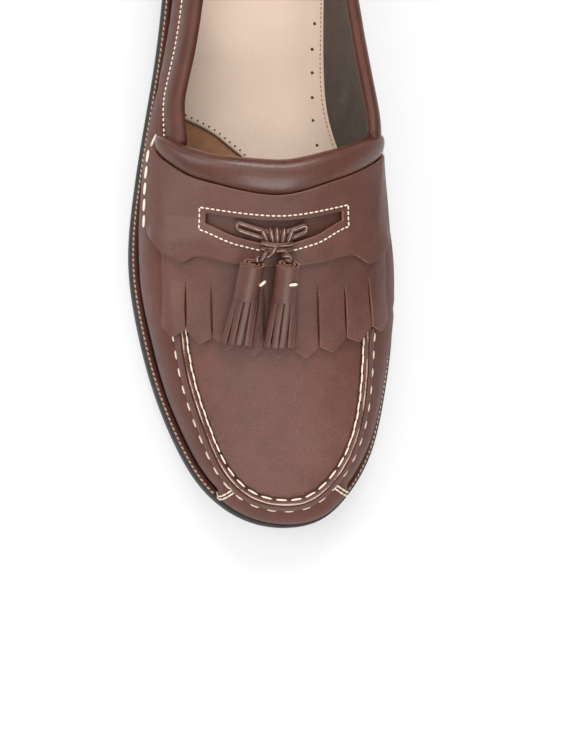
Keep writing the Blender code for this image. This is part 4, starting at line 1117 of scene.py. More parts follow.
# Side of a moulded sole from its underside up: inset and height in millimetres, with one fine line round it
SOLE_SIDE = [
    (0.55, 0.12), (0.22, 0.40), (0.0, 0.95), (0.0, 3.1),
    (0.28, 3.3), (0.28, 3.75), (0.0, 3.95), (0.0, 6.6),
]
SOLE_TOP = [(0.12, 7.1), (0.5, 7.42), (1.0, 7.5)]
HEEL_SIDE = [(1.75, 0.12), (1.35, 0.45), (1.2, 1.0)]

# Section of the welt from its outer foot over its top to the inner foot: inset and height in millimetres
WELT_ROWS = [
    (1.0, 0.0), (1.0, 1.75), (1.12, 2.15), (1.4, 2.36), (1.9, 2.42),
    (2.5, 2.30), (2.9, 1.95), (3.5, 1.7), (3.5, 0.0),
]


class LOAFER_OT_sole(bpy.types.Operator):
    """Moulds the outsole and the heel block, and sews the welt on"""

    bl_idname = "loafer.sole"
    bl_label = "Sole and welt"

    def execute(self, context):
        last = current_last()
        bottom = [(1.2 * MM, t, 1.0, 0.0) for t in np.linspace(0, 1, 44)]
        side = [(inset * MM, 1.0, 1.0, up * MM) for inset, up in SOLE_SIDE + SOLE_TOP]
        top = [(1.0 * MM, t, 1.0, 7.5 * MM) for t in (0.75, 0.5, 0.25)]
        other = [(inset, 0.0, whole, added) for inset, _, whole, added in side[::-1]]
        loop = bottom + side + top + other
        tread = [0.60 + 0.026 * i for i in range(6)]
        form = sole_block(last, loop, sole_shares(400), last.sole_lift, tread, 0.032)
        make_piece("outsole_body", form, ["moulded rubber"], ["outsole"])

        bottom = [(2.2 * MM, t, 0.0, 0.0) for t in np.linspace(0, 1, 40)]
        side = [(inset * MM, 1.0, 0.0, up * MM) for inset, up in HEEL_SIDE]
        side += [(1.0 * MM, 1.0, 0.5, 0.0), (1.15 * MM, 1.0, 0.52, 0.0), (1.15 * MM, 1.0, 0.56, 0.0)]
        side += [(0.95 * MM, 1.0, 0.58, 0.0), (0.6 * MM, 1.0, 1.0, 0.0)]
        top = [(0.6 * MM, 0.5, 1.0, 0.0)]
        other = [(inset, 0.0, whole, added) for inset, _, whole, added in side[::-1]]
        loop = bottom + side + top + other
        tread = [0.06 + 0.045 * i for i in range(4)]
        form = sole_block(
            last, loop, sole_shares(150, both=False), lambda y: last.sole_lift(y) - CLEARANCE, tread, 0.017,
            end=0.5 * last.length - HEEL_LENGTH,
        )
        make_piece("heel_block", form, ["moulded rubber"], ["heel"])
        self.welt(last)
        return {"FINISHED"}

    def welt(self, last):
        """Strip of leather on the sole's edge, from one toe corner round the heel to the other."""
        turns = np.linspace(last.welt_turns[0], last.welt_turns[1] - 1.0, 520)
        share = np.linspace(0, 1, len(turns))
        fade = np.clip(np.minimum(share, 1 - share) / 0.012, 0, 1) ** 0.5
        points = np.zeros((len(turns), len(WELT_ROWS), 3))
        for k, (inset, up) in enumerate(WELT_ROWS):
            flat = last.outline(turns, np.full(len(turns), inset * MM))
            points[:, k, :2] = flat
            points[:, k, 2] = last.sole_top(flat[:, 1]) + CLEARANCE + up * MM * (0.45 + 0.55 * fade)
        form = sheet(points, round_columns=True, caps=True)
        make_piece("welt_strip", form, ["welt cowhide"], ["welt"])
        flat = last.outline(turns, np.full(len(turns), 1.55 * MM))
        path = np.column_stack([flat, last.sole_top(flat[:, 1]) + CLEARANCE + 2.36 * MM])
        way = last.outward(turns)
        ups = unit(np.column_stack([way * 0.35, np.ones(len(turns))]))
        form = stitches(bmesh.new(), path, ups, 2.2 * MM, 1.5 * MM, 0.65 * MM, slant=math.radians(14))
        make_piece("welt_stitches", form, ["soiled thread"])


# Footbed, in metres across and along the shoe from the frame's centre: the slanting front edge that
# leaves the suede bare at the lateral side, and the row of pricked holes along the medial side
FOOTBED_FRONT = [
    (-0.034, 0.0188), (-0.0255, 0.0152), (-0.020, 0.0122),
    (-0.0145, 0.0080), (-0.009, 0.0039), (-0.002, -0.004),
]
PINK_DEPTH = 0.0007
PRICKED = [
    (0.0200, 0.0694), (0.0194, 0.0590), (0.0189, 0.0487), (0.0193, 0.0393),
    (0.0198, 0.0294), (0.0206, 0.0201), (0.0227, 0.0099),
]
PRICKED_RADIUS = 0.00095
EDGE_HOLE_RADIUS = 0.00058
EDGE_HOLE_PITCH = 0.0027


class LOAFER_OT_footbed(bpy.types.Operator):
    """Lays the suede insole and the tan footbed on it, with its pricked holes and pinked edge"""

    bl_idname = "loafer.footbed"
    bl_label = "Footbed"

    def execute(self, context):
        last = current_last()
        inset = FEATHER_INSET + last.wall_thickness + 2 * CLEARANCE
        shares = sole_shares(120)
        left, right, y = last.edges(inset, shares)
        base = last.sole_top(y)
        rows = [(0.0, 0.3), (0.0, 1.6), (0.4, 1.95), (1.2, 2.05)]
        across = np.linspace(0, 1, 9)[1:-1]
        points = []
        for move, up in rows:
            points.append(np.column_stack([right - move * MM, y, base + up * MM]))
        for t in across[::-1]:
            points.append(np.column_stack([left + (right - left) * t, y, base + 2.05 * MM]))
        for move, up in rows[::-1]:
            points.append(np.column_stack([left + move * MM, y, base + up * MM]))
        form = sheet(np.stack(points, 1), round_columns=True, caps=True)
        make_piece("insole_board", form, ["suede"], ["insole"])
        self.cover(last, inset)
        return {"FINISHED"}

    def cover(self, last, inset):
        """Tan leather over the insole, cut on the slant at its lateral front."""
        side = np.linspace(0, 1, 81)
        fronts = np.array([x for x, _ in FOOTBED_FRONT])
        ys = np.array([y_at for _, y_at in FOOTBED_FRONT])
        table_left, table_right, table_y = last.edges(inset, np.linspace(0.004, 0.70, 600))
        order = np.argsort(table_y)
        end = np.full(side.shape, 0.0)
        for _ in range(6):
            left = np.interp(end, table_y[order], table_left[order])
            right = np.interp(end, table_y[order], table_right[order])
            end = np.interp(left + (right - left) * side, fronts, ys, right=-0.030)
        end = end + PINK_DEPTH * np.abs(np.mod(side * 34, 1.0) - 0.5)
        share = sole_shares(150, both=False)[:, None]
        y = table_y[0] + (end[None, :] - table_y[0]) * share
        left = np.interp(y, table_y[order], table_left[order])
        right = np.interp(y, table_y[order], table_right[order])
        x, z = self.cupped(last, left + (right - left) * side[None, :], y, left, right)
        form = sheet(np.stack([x, y, z], -1))
        face_up(form)
        piece = make_piece("footbed_cover", form, ["footbed leather", "pale cut edge"])
        thicken(piece, COVER_THICKNESS, -1, rim=1).use_even_offset = False

        holes = bmesh.new()
        spots = [(x_at, y_at, PRICKED_RADIUS) for x_at, y_at in PRICKED]
        front = path_through([(x_at, y_at + 0.0021, 0) for x_at, y_at in FOOTBED_FRONT], 8)
        walked = walked_along(front)
        for spot in np.arange(0.001, walked[-1], EDGE_HOLE_PITCH):
            x_at, y_at = (float(np.interp(spot, walked, front[:, axis])) for axis in (0, 1))
            spots.append((x_at, y_at, EDGE_HOLE_RADIUS))
        for x_at, y_at, radius in spots:
            left = float(np.interp(y_at, table_y[order], table_left[order]))
            right = float(np.interp(y_at, table_y[order], table_right[order]))
            x, z = self.cupped(last, np.array([x_at]), np.array([y_at]), left, right)
            self.hole(holes, Vector((x[0], y_at, z[0] + 0.00004)), radius)
        make_piece("footbed_holes", holes, ["pin hole shade"])

        trim = bmesh.new()
        left, right, y = last.edges(inset, np.linspace(0.02, 0.62, 240))
        x, z = self.cupped(last, right - 0.0011, y, left, right)
        path = np.column_stack([x, y, z])
        ups = np.tile([0.0, 0.0, 1.0], (len(path), 1))
        stitches(trim, path, ups, 1.9 * MM, 1.2 * MM, 0.5 * MM)
        make_piece("footbed_stitches", trim, ["pale cut edge"])

    def cupped(self, last, x, y, left, right):
        """The cover rises at both its sides, most at the medial one, where the wall leans out."""
        near = np.clip(1 - (right - x) / 0.007, 0, 1) ** 2
        far = np.clip(1 - (x - left) / 0.005, 0, 1) ** 2
        x = x + 0.0016 * near - 0.0004 * far
        z = last.sole_top(y) + INSOLE_THICKNESS + 0.0026 * near + 0.0010 * far
        return x, z + waves(np.stack([x, y, z], -1), 0.02, 0.00018)

    def hole(self, form, spot, radius):
        """A pricked hole: a small dish of painted shade on the footbed."""
        bmesh.ops.create_cone(
            form, cap_ends=True, cap_tris=False, segments=12, radius1=radius, radius2=radius * 0.6,
            depth=radius * 0.5, matrix=Matrix.Translation(spot - Vector((0, 0, radius * 0.25 - 0.00006))),
        )


class LOAFER_OT_upper(bpy.types.Operator):
    """Draws the leather over the last: side walls with their creases, and the apron with its puckers"""

    bl_idname = "loafer.upper"
    bl_label = "Upper"

    def execute(self, context):
        last = current_last()
        turns = np.arange(560) / 560
        rises = np.concatenate([[0.0, 0.04, 0.08], np.linspace(0.1, 1.0, 36)])
        points = last.wall(turns[:, None], rises[None, :])
        along = np.roll(points, -1, 0) - np.roll(points, 1, 0)
        up = np.gradient(points, axis=1)
        normals = unit(np.cross(along, up))
        inward = (normals[..., :2] * last.outward(turns)[:, None]).sum(-1, keepdims=True) < 0
        normals = np.where(inward, -normals, normals)
        depth = waves(points, 0.016, 0.00022)
        for row in WALL_CREASES:
            share = np.linspace(0, 1, 9)
            bend = 0.006 * np.sin(share * math.pi)
            ys = last.y(row.along + (row.to_along - row.along) * share + bend)
            heights = row.rise + (row.to_rise - row.rise) * share
            path = last.wall(last.side_turn(row.side, ys), heights)
            depth = depth + crease(points, path, row.wide, row.deep)
        for path in self.pinches(last):
            depth = depth + crease(points, path, 0.5, 0.30)
        fade = np.clip(np.minimum(rises / 0.2, (1.02 - rises) / 0.05), 0, 1)
        points = points + normals * (depth * fade[None, :])[..., None]
        form = sheet(points, round_rows=True)
        self.face_out(form)
        piece = make_piece("upper_wall", form, ["side cowhide", "brushed lining"], ["upper"])
        thicken(piece, last.wall_thickness, -1, inside=1)
        self.apron(last)
        return {"FINISHED"}

    def pinches(self, last):
        """Short notches where the hand-sewn seam gathers the wall's edge, one between stitches."""
        paths = []
        first = float(last.side_turn(-1, last.y(SEAM_ENDS[0])))
        end = float(last.side_turn(1, last.y(SEAM_ENDS[1])))
        dense = np.linspace(first, end, 400)
        walked = walked_along(last.seam(dense))
        for spot in np.arange(SEAM_PITCH / 2, walked[-1], SEAM_PITCH):
            turn = np.interp(spot, walked, dense)
            high = last.wall(turn, 0.90)
            low = last.wall(turn + 0.0005, 0.70)
            paths.append(np.array([high, low]))
        return paths

    def face_out(self, form):
        """Turns the faces of an open wall so that they look away from its middle."""
        middle = sum((vert.co for vert in form.verts), Vector()) / len(form.verts)
        out = sum(
            face.normal.dot(face.calc_center_median() - middle) * face.calc_area() for face in form.faces
        )
        if out < 0:
            bmesh.ops.reverse_faces(form, faces=form.faces)

    def apron(self, last):
        """The apron inside the seam, with the puckers that the seam pulls into it."""
        back = float(last.y(APRON_END))
        steps = np.arange(121) / 120
        ys = back + (last.tip_y + 0.0005 - back) * np.sin(math.pi / 2 * steps)
        spread = np.linspace(-1, 1, 141)
        reaches = np.sign(spread) * (1 - (1 - np.abs(spread)) ** 1.15)
        points = last.skin(ys[:, None], reaches[None, :])
        normals = unit(np.cross(np.gradient(points, axis=1), np.gradient(points, axis=0)))
        normals = np.where(normals[..., 2:] < 0, -normals, normals)
        depth = waves(points, 0.020, 0.00022)
        for row in PUCKERS:
            for k, along in enumerate(np.linspace(row.first, row.last, row.count)):
                y = float(last.y(along))
                share = np.linspace(0, 1, 4)
                start = 0.955
                end = row.reach + 0.05 * math.sin(k * 2.3)
                reach = row.side * (start + (end - start) * share)
                path = last.skin(y + 0.0025 * share, reach)
                depth = depth + crease(points, path, row.wide, row.deep * (0.75 + 0.35 * math.sin(k * 1.7)))
        points = points + normals * depth[..., None]
        form = sheet(points)
        bmesh.ops.remove_doubles(form, verts=form.verts, dist=1e-6)
        self.face_out(form)
        piece = make_piece("upper_apron", form, ["apron cowhide", "brushed lining"])
        thicken(piece, last.wall_thickness * 0.9, -1, inside=1).use_even_offset = False


# Section of the apron's hand-sewn seam from the wall to the apron: share of the way from the crest to its
# foot (negative down the wall), height in millimetres, and mark: 1 is the pale lip, part cut edge and part
# painted highlight, -1 is painted shade in the cut and beside the inner thread. It has a round fold, a cut
# and a pale lip.
SeamRow = namedtuple("SeamRow", "share up mark")
SEAM_ROWS = [
    SeamRow(-1.18, 0.42, 0.0),
    SeamRow(-1.05, 0.95, 0.0),
    SeamRow(-0.88, 1.60, 0.0),
    SeamRow(-0.62, 2.20, 0.0),
    SeamRow(-0.34, 2.55, 0.0),
    SeamRow(-0.08, 2.62, 0.0),
    SeamRow(0.10, 2.42, -0.2),
    SeamRow(0.20, 1.96, -1.0),
    SeamRow(0.27, 1.80, -1.0),
    SeamRow(0.34, 2.05, 0.2),
    SeamRow(0.44, 2.34, 1.0),
    SeamRow(0.58, 2.26, 0.9),
    SeamRow(0.72, 1.90, 0.2),
    SeamRow(0.84, 1.25, -0.8),
    SeamRow(0.95, 0.80, -0.9),
    SeamRow(1.14, 0.40, 0.0),
    SeamRow(0.60, 0.30, 0.0),
    SeamRow(-0.60, 0.30, 0.0),
]


class LOAFER_OT_moccasin_seam(bpy.types.Operator):
    """Raises the hand-sewn seam round the apron, with its two rows of thread and the bars at its corners"""

    bl_idname = "loafer.moccasin_seam"
    bl_label = "Moccasin seam"

    def execute(self, context):
        last = current_last()
        first = float(last.side_turn(-1, last.y(SEAM_ENDS[0])))
        end = float(last.side_turn(1, last.y(SEAM_ENDS[1])))
        turns = np.linspace(first, end, 620)
        top, inner, outer, off = last.seam_frame(turns)
        walked = walked_along(top)
        share = walked / walked[-1]
        fade = 0.55 + 0.45 * np.clip(np.minimum(share, 1 - share) / 0.06, 0, 1)
        beat = np.cos(2 * math.pi * walked / SEAM_PITCH)
        notch = np.exp(-((np.mod(walked / SEAM_PITCH, 1.0) - 0.5) / 0.075) ** 2)
        points = np.zeros((len(turns), len(SEAM_ROWS), 3))
        for k, row in enumerate(SEAM_ROWS):
            foot = inner if row.share > 0 else outer
            spot = top + (foot - top) * abs(row.share)
            up = row.up * fade
            if row.share < -0.3 and row.up > 0.5:
                up = up + 0.10 * beat - 0.45 * notch * min(abs(row.share), 1)
            if row.share > 0.28 and row.up > 0.5:
                up = up + 0.07 * np.sin(walked / 0.0011) * (0.6 + 0.4 * np.sin(walked / 0.0037))
            points[:, k] = spot + off * (up * MM)[:, None]
        # The pale lip, part cut edge and part painted highlight, comes and goes along the seam and is
        # strongest at the toe's middle
        worn = 0.74 + 0.16 * np.sin(walked / 0.0031) * np.sin(walked / 0.0083)
        worn = worn + 0.2 * np.exp(-(((share - 0.5) / 0.12) ** 2))
        marks = np.array([[row.mark * (lip_strength if row.mark > 0 else 1.0) for row in SEAM_ROWS] for lip_strength in worn])
        form = sheet(points, round_columns=True, caps=True, marks=marks)
        make_piece("seam_fold", form, ["seam cowhide"], ["apron_seam"])

        thread = bmesh.new()
        inside = top + (inner - top) * 0.98 + off * (1.15 * fade * MM)[:, None]
        ups = unit(off + 0.8 * unit(inner - top))
        tip = np.abs(share - 0.5) < 0.20
        first_tip = int(np.argmax(tip))
        last_tip = len(tip) - int(np.argmax(tip[::-1]))
        around_tip = slice(first_tip, last_tip)
        for sides in (slice(0, first_tip + 1), slice(last_tip - 1, None)):
            stitches(thread, inside[sides], ups[sides], 3.9 * MM, 4.1 * MM, 0.78 * MM, sway=0.00008)
        stitches(thread, inside[around_tip], ups[around_tip], 5.9 * MM, 4.7 * MM, 0.82 * MM)
        outside = top + (outer - top) * 1.22 + off * 0.42 * MM
        ups = unit(off + 0.9 * unit(outer - top))
        stitches(thread, outside, ups, SEAM_PITCH, 3.7 * MM, 0.85 * MM)
        make_piece("seam_thread", thread, ["waxed thread"])
        self.bars(last)
        return {"FINISHED"}

    def bars(self, last):
        """Doubled stitches that tie down the ends of the welt at the toe's corners, with a short bar
        above."""
        form = bmesh.new()
        for side, foot in zip((-1, 1), last.welt_turns):
            climb = np.linspace(0.03, 0.88, 14)
            runs = [(foot - side * (move + 0.0075 * climb), climb) for move in (0.0002, 0.0024)]
            runs.append((foot - side * np.linspace(0.0035, 0.0085, 6), np.full(6, 0.89)))
            for turns, rises in runs:
                path = last.wall(turns, rises)
                way = last.outward(turns)
                ups = unit(np.column_stack([way, np.full(len(turns), 0.6)]))
                path = path + ups * 0.0003
                size = float(walked_along(path)[-1])
                parts = max(int(round(size / 0.0045)), 1)
                stitches(form, path, ups, size / parts, size / parts * 1.05, 0.8 * MM, sink=0.2)
        make_piece("corner_bars", form, ["waxed thread"])


class LOAFER_OT_collar(bpy.types.Operator):
    """Rolls the padded binding round the topline and sews it down"""

    bl_idname = "loafer.collar"
    bl_label = "Collar"

    def execute(self, context):
        last = current_last()
        first = float(last.side_turn(-1, last.y(BINDING_ENDS[0] + HIDDEN_END)))
        end = float(last.side_turn(1, last.y(BINDING_ENDS[1] + HIDDEN_END))) - 1.0
        turns = np.linspace(first, end, 460)
        top = last.wall(turns, 1.0)
        up = unit(top - last.wall(turns, 0.96))
        ahead = last.seam(turns + 0.001) - last.seam(turns - 0.001)
        out = unit(np.cross(up, ahead))
        out = np.where((out[:, :2] * last.outward(turns)).sum(1, keepdims=True) < 0, -out, out)
        along = 0.5 - top[:, 1] / last.length
        is_lateral = np.arange(len(turns)) < len(turns) / 2
        past = along - np.where(is_lateral, BINDING_ENDS[0], BINDING_ENDS[1])
        dive = np.clip((past + 0.010) / (HIDDEN_END + 0.010), 0, 1)[:, None]
        start = top + up * (CLEARANCE * 1.5 - 0.0065 * dive**1.4)
        slim = (1 - 0.35 * dive)[:, None]
        lean = np.clip((past + 0.075) / 0.06, 0, 1) * is_lateral
        start = start - out * 0.0018 * (3 * lean**2 - 2 * lean**3)[:, None]
        rows = path_through([(row.up, row.out, 0.0) for row in BINDING_ROWS], 4, closed=True)
        points = start[:, None] + up[:, None] * rows[None, :, :1] * BINDING_HEIGHT * slim
        points = points + out[:, None] * rows[None, :, 1:2] * BINDING_THICKNESS * slim
        points = points + out[:, None] * waves(points, 0.014, 0.00016)[..., None]
        form = sheet(points, round_columns=True, caps=True)
        piece = make_piece("collar_roll", form, ["binding calfskin"], ["collar_binding"])

        path = start + up * 0.06 * BINDING_HEIGHT + out * 0.16 * BINDING_THICKNESS
        form = stitches(bmesh.new(), path, out, 2.1 * MM, 1.55 * MM, 0.65 * MM)
        make_piece("collar_stitches", form, ["waxed thread"])

        path = start + up * 0.14 * BINDING_HEIGHT - out * 0.60 * BINDING_THICKNESS
        form = swept(path, up, oval(0.8 * MM, 1.0 * MM, 8))
        make_piece("collar_piping", form, ["cut edge"])
        return {"FINISHED"}


class LOAFER_OT_tongue(bpy.types.Operator):
    """Forms the tongue with its padded roll"""

    bl_idname = "loafer.tongue"
    bl_label = "Tongue"

    def execute(self, context):
        last = current_last()
        root = float(last.y(APRON_END)) + 2 * CLEARANCE
        shares = np.sin(np.linspace(-math.pi / 2, math.pi / 2, 181))
        across = shares * ROLL_REACH * last.ball
        front = last.edge_y(ROLL_FRONT, across)
        back = last.edge_y(ROLL_BACK, across)
        end = np.maximum(1 - np.abs(shares) ** 22, 0) ** 0.5
        section = []
        for row in TONGUE_ROWS:
            lift = row.lift * ROLL_THICKNESS
            if row.part == "plate":
                y = root + (front - root) * row.share
                seam = last.seam_across(1, y) * TONGUE_REACH
                other = last.seam_across(-1, y) * TONGUE_REACH
                side = np.where(shares < 0, -other, seam)
                place = np.clip(across, -side, side) if row.share >= 1 else shares * side
                section.append(last.lay(y, place, lift))
            else:
                y = front + (back - front) * (0.5 + (row.share - 0.5) * (0.3 + 0.7 * end))
                section.append(last.lay(y, across, lift * (0.2 + 0.8 * end)))
        points = path_through(section, 4, closed=True).transpose(1, 0, 2)
        form = sheet(points, round_columns=True, caps=True)
        piece = make_piece("tongue_roll", form, ["tongue calfskin"], ["tongue"])
        return {"FINISHED"}


# Stitches on the band's sides: side, the row's first and last place along the shoe, and in millimetres how
# far it is moved from the edge to the lateral side, how far it stands off the band and its thickness
SideRow = namedtuple("SideRow", "side first last shift lift thick")
SIDE_ROWS = [
    SideRow(-1, 0.508, 0.612, 0.8, 0.7, 1.15),
    SideRow(1, 0.500, 0.590, 1.6, 0.0, 0.7),
]


def band_lift(last, y, across):
    """The band lies on the upper at its back and sides, and on the fringe's root in front."""
    full = KILTIE_THICKNESS + CLEARANCE
    share = smooth(0.5 - y / last.length, [0.54, 0.596, 0.630, 0.70], [0, 0, 1, 1])
    edge = smooth(np.abs(across) / last.ball, [0.0, 0.44, 0.485, 0.6], [1, 1, 0, 0])
    return OVERLAY_GAP + full * share * edge


class LOAFER_OT_saddle(bpy.types.Operator):
    """Cuts the saddle band with its window and sews it on"""

    bl_idname = "loafer.saddle"
    bl_label = "Saddle band"

    def execute(self, context):
        last = current_last()
        outer = np.linspace(WINDOW_REACH, BAND_REACH, 28)[1:]
        inner = np.linspace(-WINDOW_REACH, WINDOW_REACH, 73)
        columns = np.concatenate([-outer[::-1], inner, outer])
        rows_back = 12
        rows_window = 8
        rows_front = 12
        across = columns * last.ball
        edges = [last.edge_y(ROLL_FRONT, across) - BAND_GAP]
        edges += [last.edge_y(row, across) for row in (WINDOW_BACK, WINDOW_FRONT, BAND_FRONT)]
        ys = [np.linspace(edges[0], edges[1], rows_back + 1)]
        ys.append(np.linspace(edges[1], edges[2], rows_window + 1)[1:])
        ys.append(np.linspace(edges[2], edges[3], rows_front + 1)[1:])
        ys = np.concatenate(ys).T
        wide = np.repeat(across[:, None], ys.shape[1], axis=1)
        points = last.lay(ys, wide, band_lift(last, ys, wide))
        uneven = (0.5 + waves(points, 0.014, 0.5))[..., None] * 0.0003
        points = points + last.normal(ys, last.reach(ys, wide)) * uneven
        marks = np.zeros(points.shape[:2])
        first = len(outer)
        marks[first : first + len(inner), rows_back : rows_back + rows_window + 1] = 1.0
        form = sheet(points, marks=marks)
        layer = form.verts.layers.float["mark"]
        window = [face for face in form.faces if all(vert[layer] > 0.5 for vert in face.verts)]
        bmesh.ops.delete(form, geom=window, context="FACES")
        face_up(form)
        finishes = ["oiled cowhide", "cut edge"]
        piece = make_piece("band_leather", form, finishes, ["saddle_band"])
        thicken(piece, BAND_THICKNESS, 1, rim=1)
        soften(piece, 0.00035)
        self.window_stitches(last)
        self.side_stitches(last)
        return {"FINISHED"}

    def window_stitches(self, last):
        """One row of stitches round the window."""
        margin = 0.0026
        reach = (WINDOW_REACH * last.ball) + 0.0021
        across = np.linspace(-reach, reach, 80)
        back = last.edge_y(WINDOW_BACK, across) + margin * 0.75
        front = last.edge_y(WINDOW_FRONT, across) - margin
        runs = [(across, back), (across[::-1], front[::-1])]
        for x, low, high in ((reach, back[-1], front[-1]), (-reach, front[0], back[0])):
            runs.append((np.full(14, x), np.linspace(low, high, 14)))
        form = bmesh.new()
        for x, y in runs:
            path = last.lay(y, x, band_lift(last, y, x) + BAND_THICKNESS + 0.0003)
            ups = last.normal(y, last.reach(y, x))
            stitches(form, path, ups, 2.15 * MM, 1.65 * MM, 0.66 * MM)
        make_piece("window_stitches", form, ["waxed thread"])

    def side_stitches(self, last):
        """Big hand stitches over the band's two side edges, and the loose one at its lateral corner."""
        form = bmesh.new()
        for row in SIDE_ROWS:
            y = last.y(np.linspace(row.first, row.last, 60))
            x = np.full(60, row.side * BAND_REACH * last.ball - row.shift * MM)
            path = last.lay(y, x, BAND_THICKNESS + row.lift * MM)
            ups = last.normal(y, last.reach(y, x))
            slant = row.side * math.radians(5)
            stitches(form, path, ups, 6.3 * MM, 5.1 * MM, row.thick * MM, slant=slant, sink=0.25)
        y = last.y(np.linspace(0.5065, 0.4895, 8))
        x = -last.ball * np.linspace(BAND_REACH + 0.006, BAND_REACH - 0.021, 8)
        path = last.lay(y, x, BAND_THICKNESS)
        stitches(form, path, last.normal(y, last.reach(y, x)), 6.0 * MM, 5.6 * MM, 1.0 * MM)
        make_piece("side_stitches", form, ["waxed thread"])


def kiltie_lift(last, y, across):
    """The fringe lies flat at its root and stands off a little at its tips, more over the raised seam."""
    along = 0.5 - y / last.length
    down = smooth(along, [0.63, 0.67, 0.72, 0.80], [0, 0, 0.5, 1])
    side = smooth(np.abs(across) / last.ball, [0.0, 0.22, 0.36, 0.6], [0.35, 0.5, 1, 1])
    return OVERLAY_GAP + FRINGE_RISE * down * side


# How much each strip of the fringe curls off the shoe at its tip and twists, in millimetres
STRIP_CURLS = [
    (0.5, 0.4), (0.9, -0.3), (0.5, 0.35), (0.3, -0.2), (0.2, 0.1),
    (0.35, 0.25), (0.5, -0.35), (0.9, 0.3), (0.4, -0.4),
]


class LOAFER_OT_fringe(bpy.types.Operator):
    """Cuts the kiltie into its nine pointed strips"""

    bl_idname = "loafer.fringe"
    bl_label = "Fringe"

    def execute(self, context):
        last = current_last()
        forms = []
        for (left, right), (curl, twist) in zip(zip(KILTIE_SLITS[:-1], KILTIE_SLITS[1:]), STRIP_CURLS):
            side = np.linspace(-1, 1, 15)
            share = (left + right) / 2 + side * (right - left) / 2
            across = share * last.ball
            top = last.edge_y(KILTIE_ROOT, across)
            knee = last.edge_y(KILTIE_SLIT_TOP, across)
            tip = last.edge_y(KILTIE_TIP, across) + KILTIE_POINT * np.clip((np.abs(side) - 0.06) / 0.94, 0, 1)
            ys = np.concatenate([np.linspace(top, knee, 9), np.linspace(knee, tip, 29)[1:]]).T
            below = np.clip((knee[:, None] - ys) / (knee - tip)[:, None], 0, 1)
            opened = KILTIE_SLIT_OPEN / 2 * (0.35 * np.clip(below * 6, 0, 1) + np.sin(math.pi * below) ** 0.8)
            x = across[:, None] - side[:, None] * opened
            lift = kiltie_lift(last, ys, np.repeat(across[:, None], ys.shape[1], axis=1))
            crown = 0.25 * (1 - side[:, None] ** 2) * below
            lift = lift + MM * (curl * below**2 + twist * side[:, None] * below + crown) * 0.6
            forms.append(sheet(last.lay(ys, x, lift)))
        form = join_all(forms)
        bmesh.ops.remove_doubles(form, verts=form.verts, dist=1e-6)
        bmesh.ops.recalc_face_normals(form, faces=form.faces)
        face_up(form)
        piece = make_piece("fringe_leather", form, ["oiled cowhide", "cut edge"], ["kiltie"])
        thicken(piece, KILTIE_THICKNESS, 1, rim=1)
        soften(piece, 0.0003)
        return {"FINISHED"}


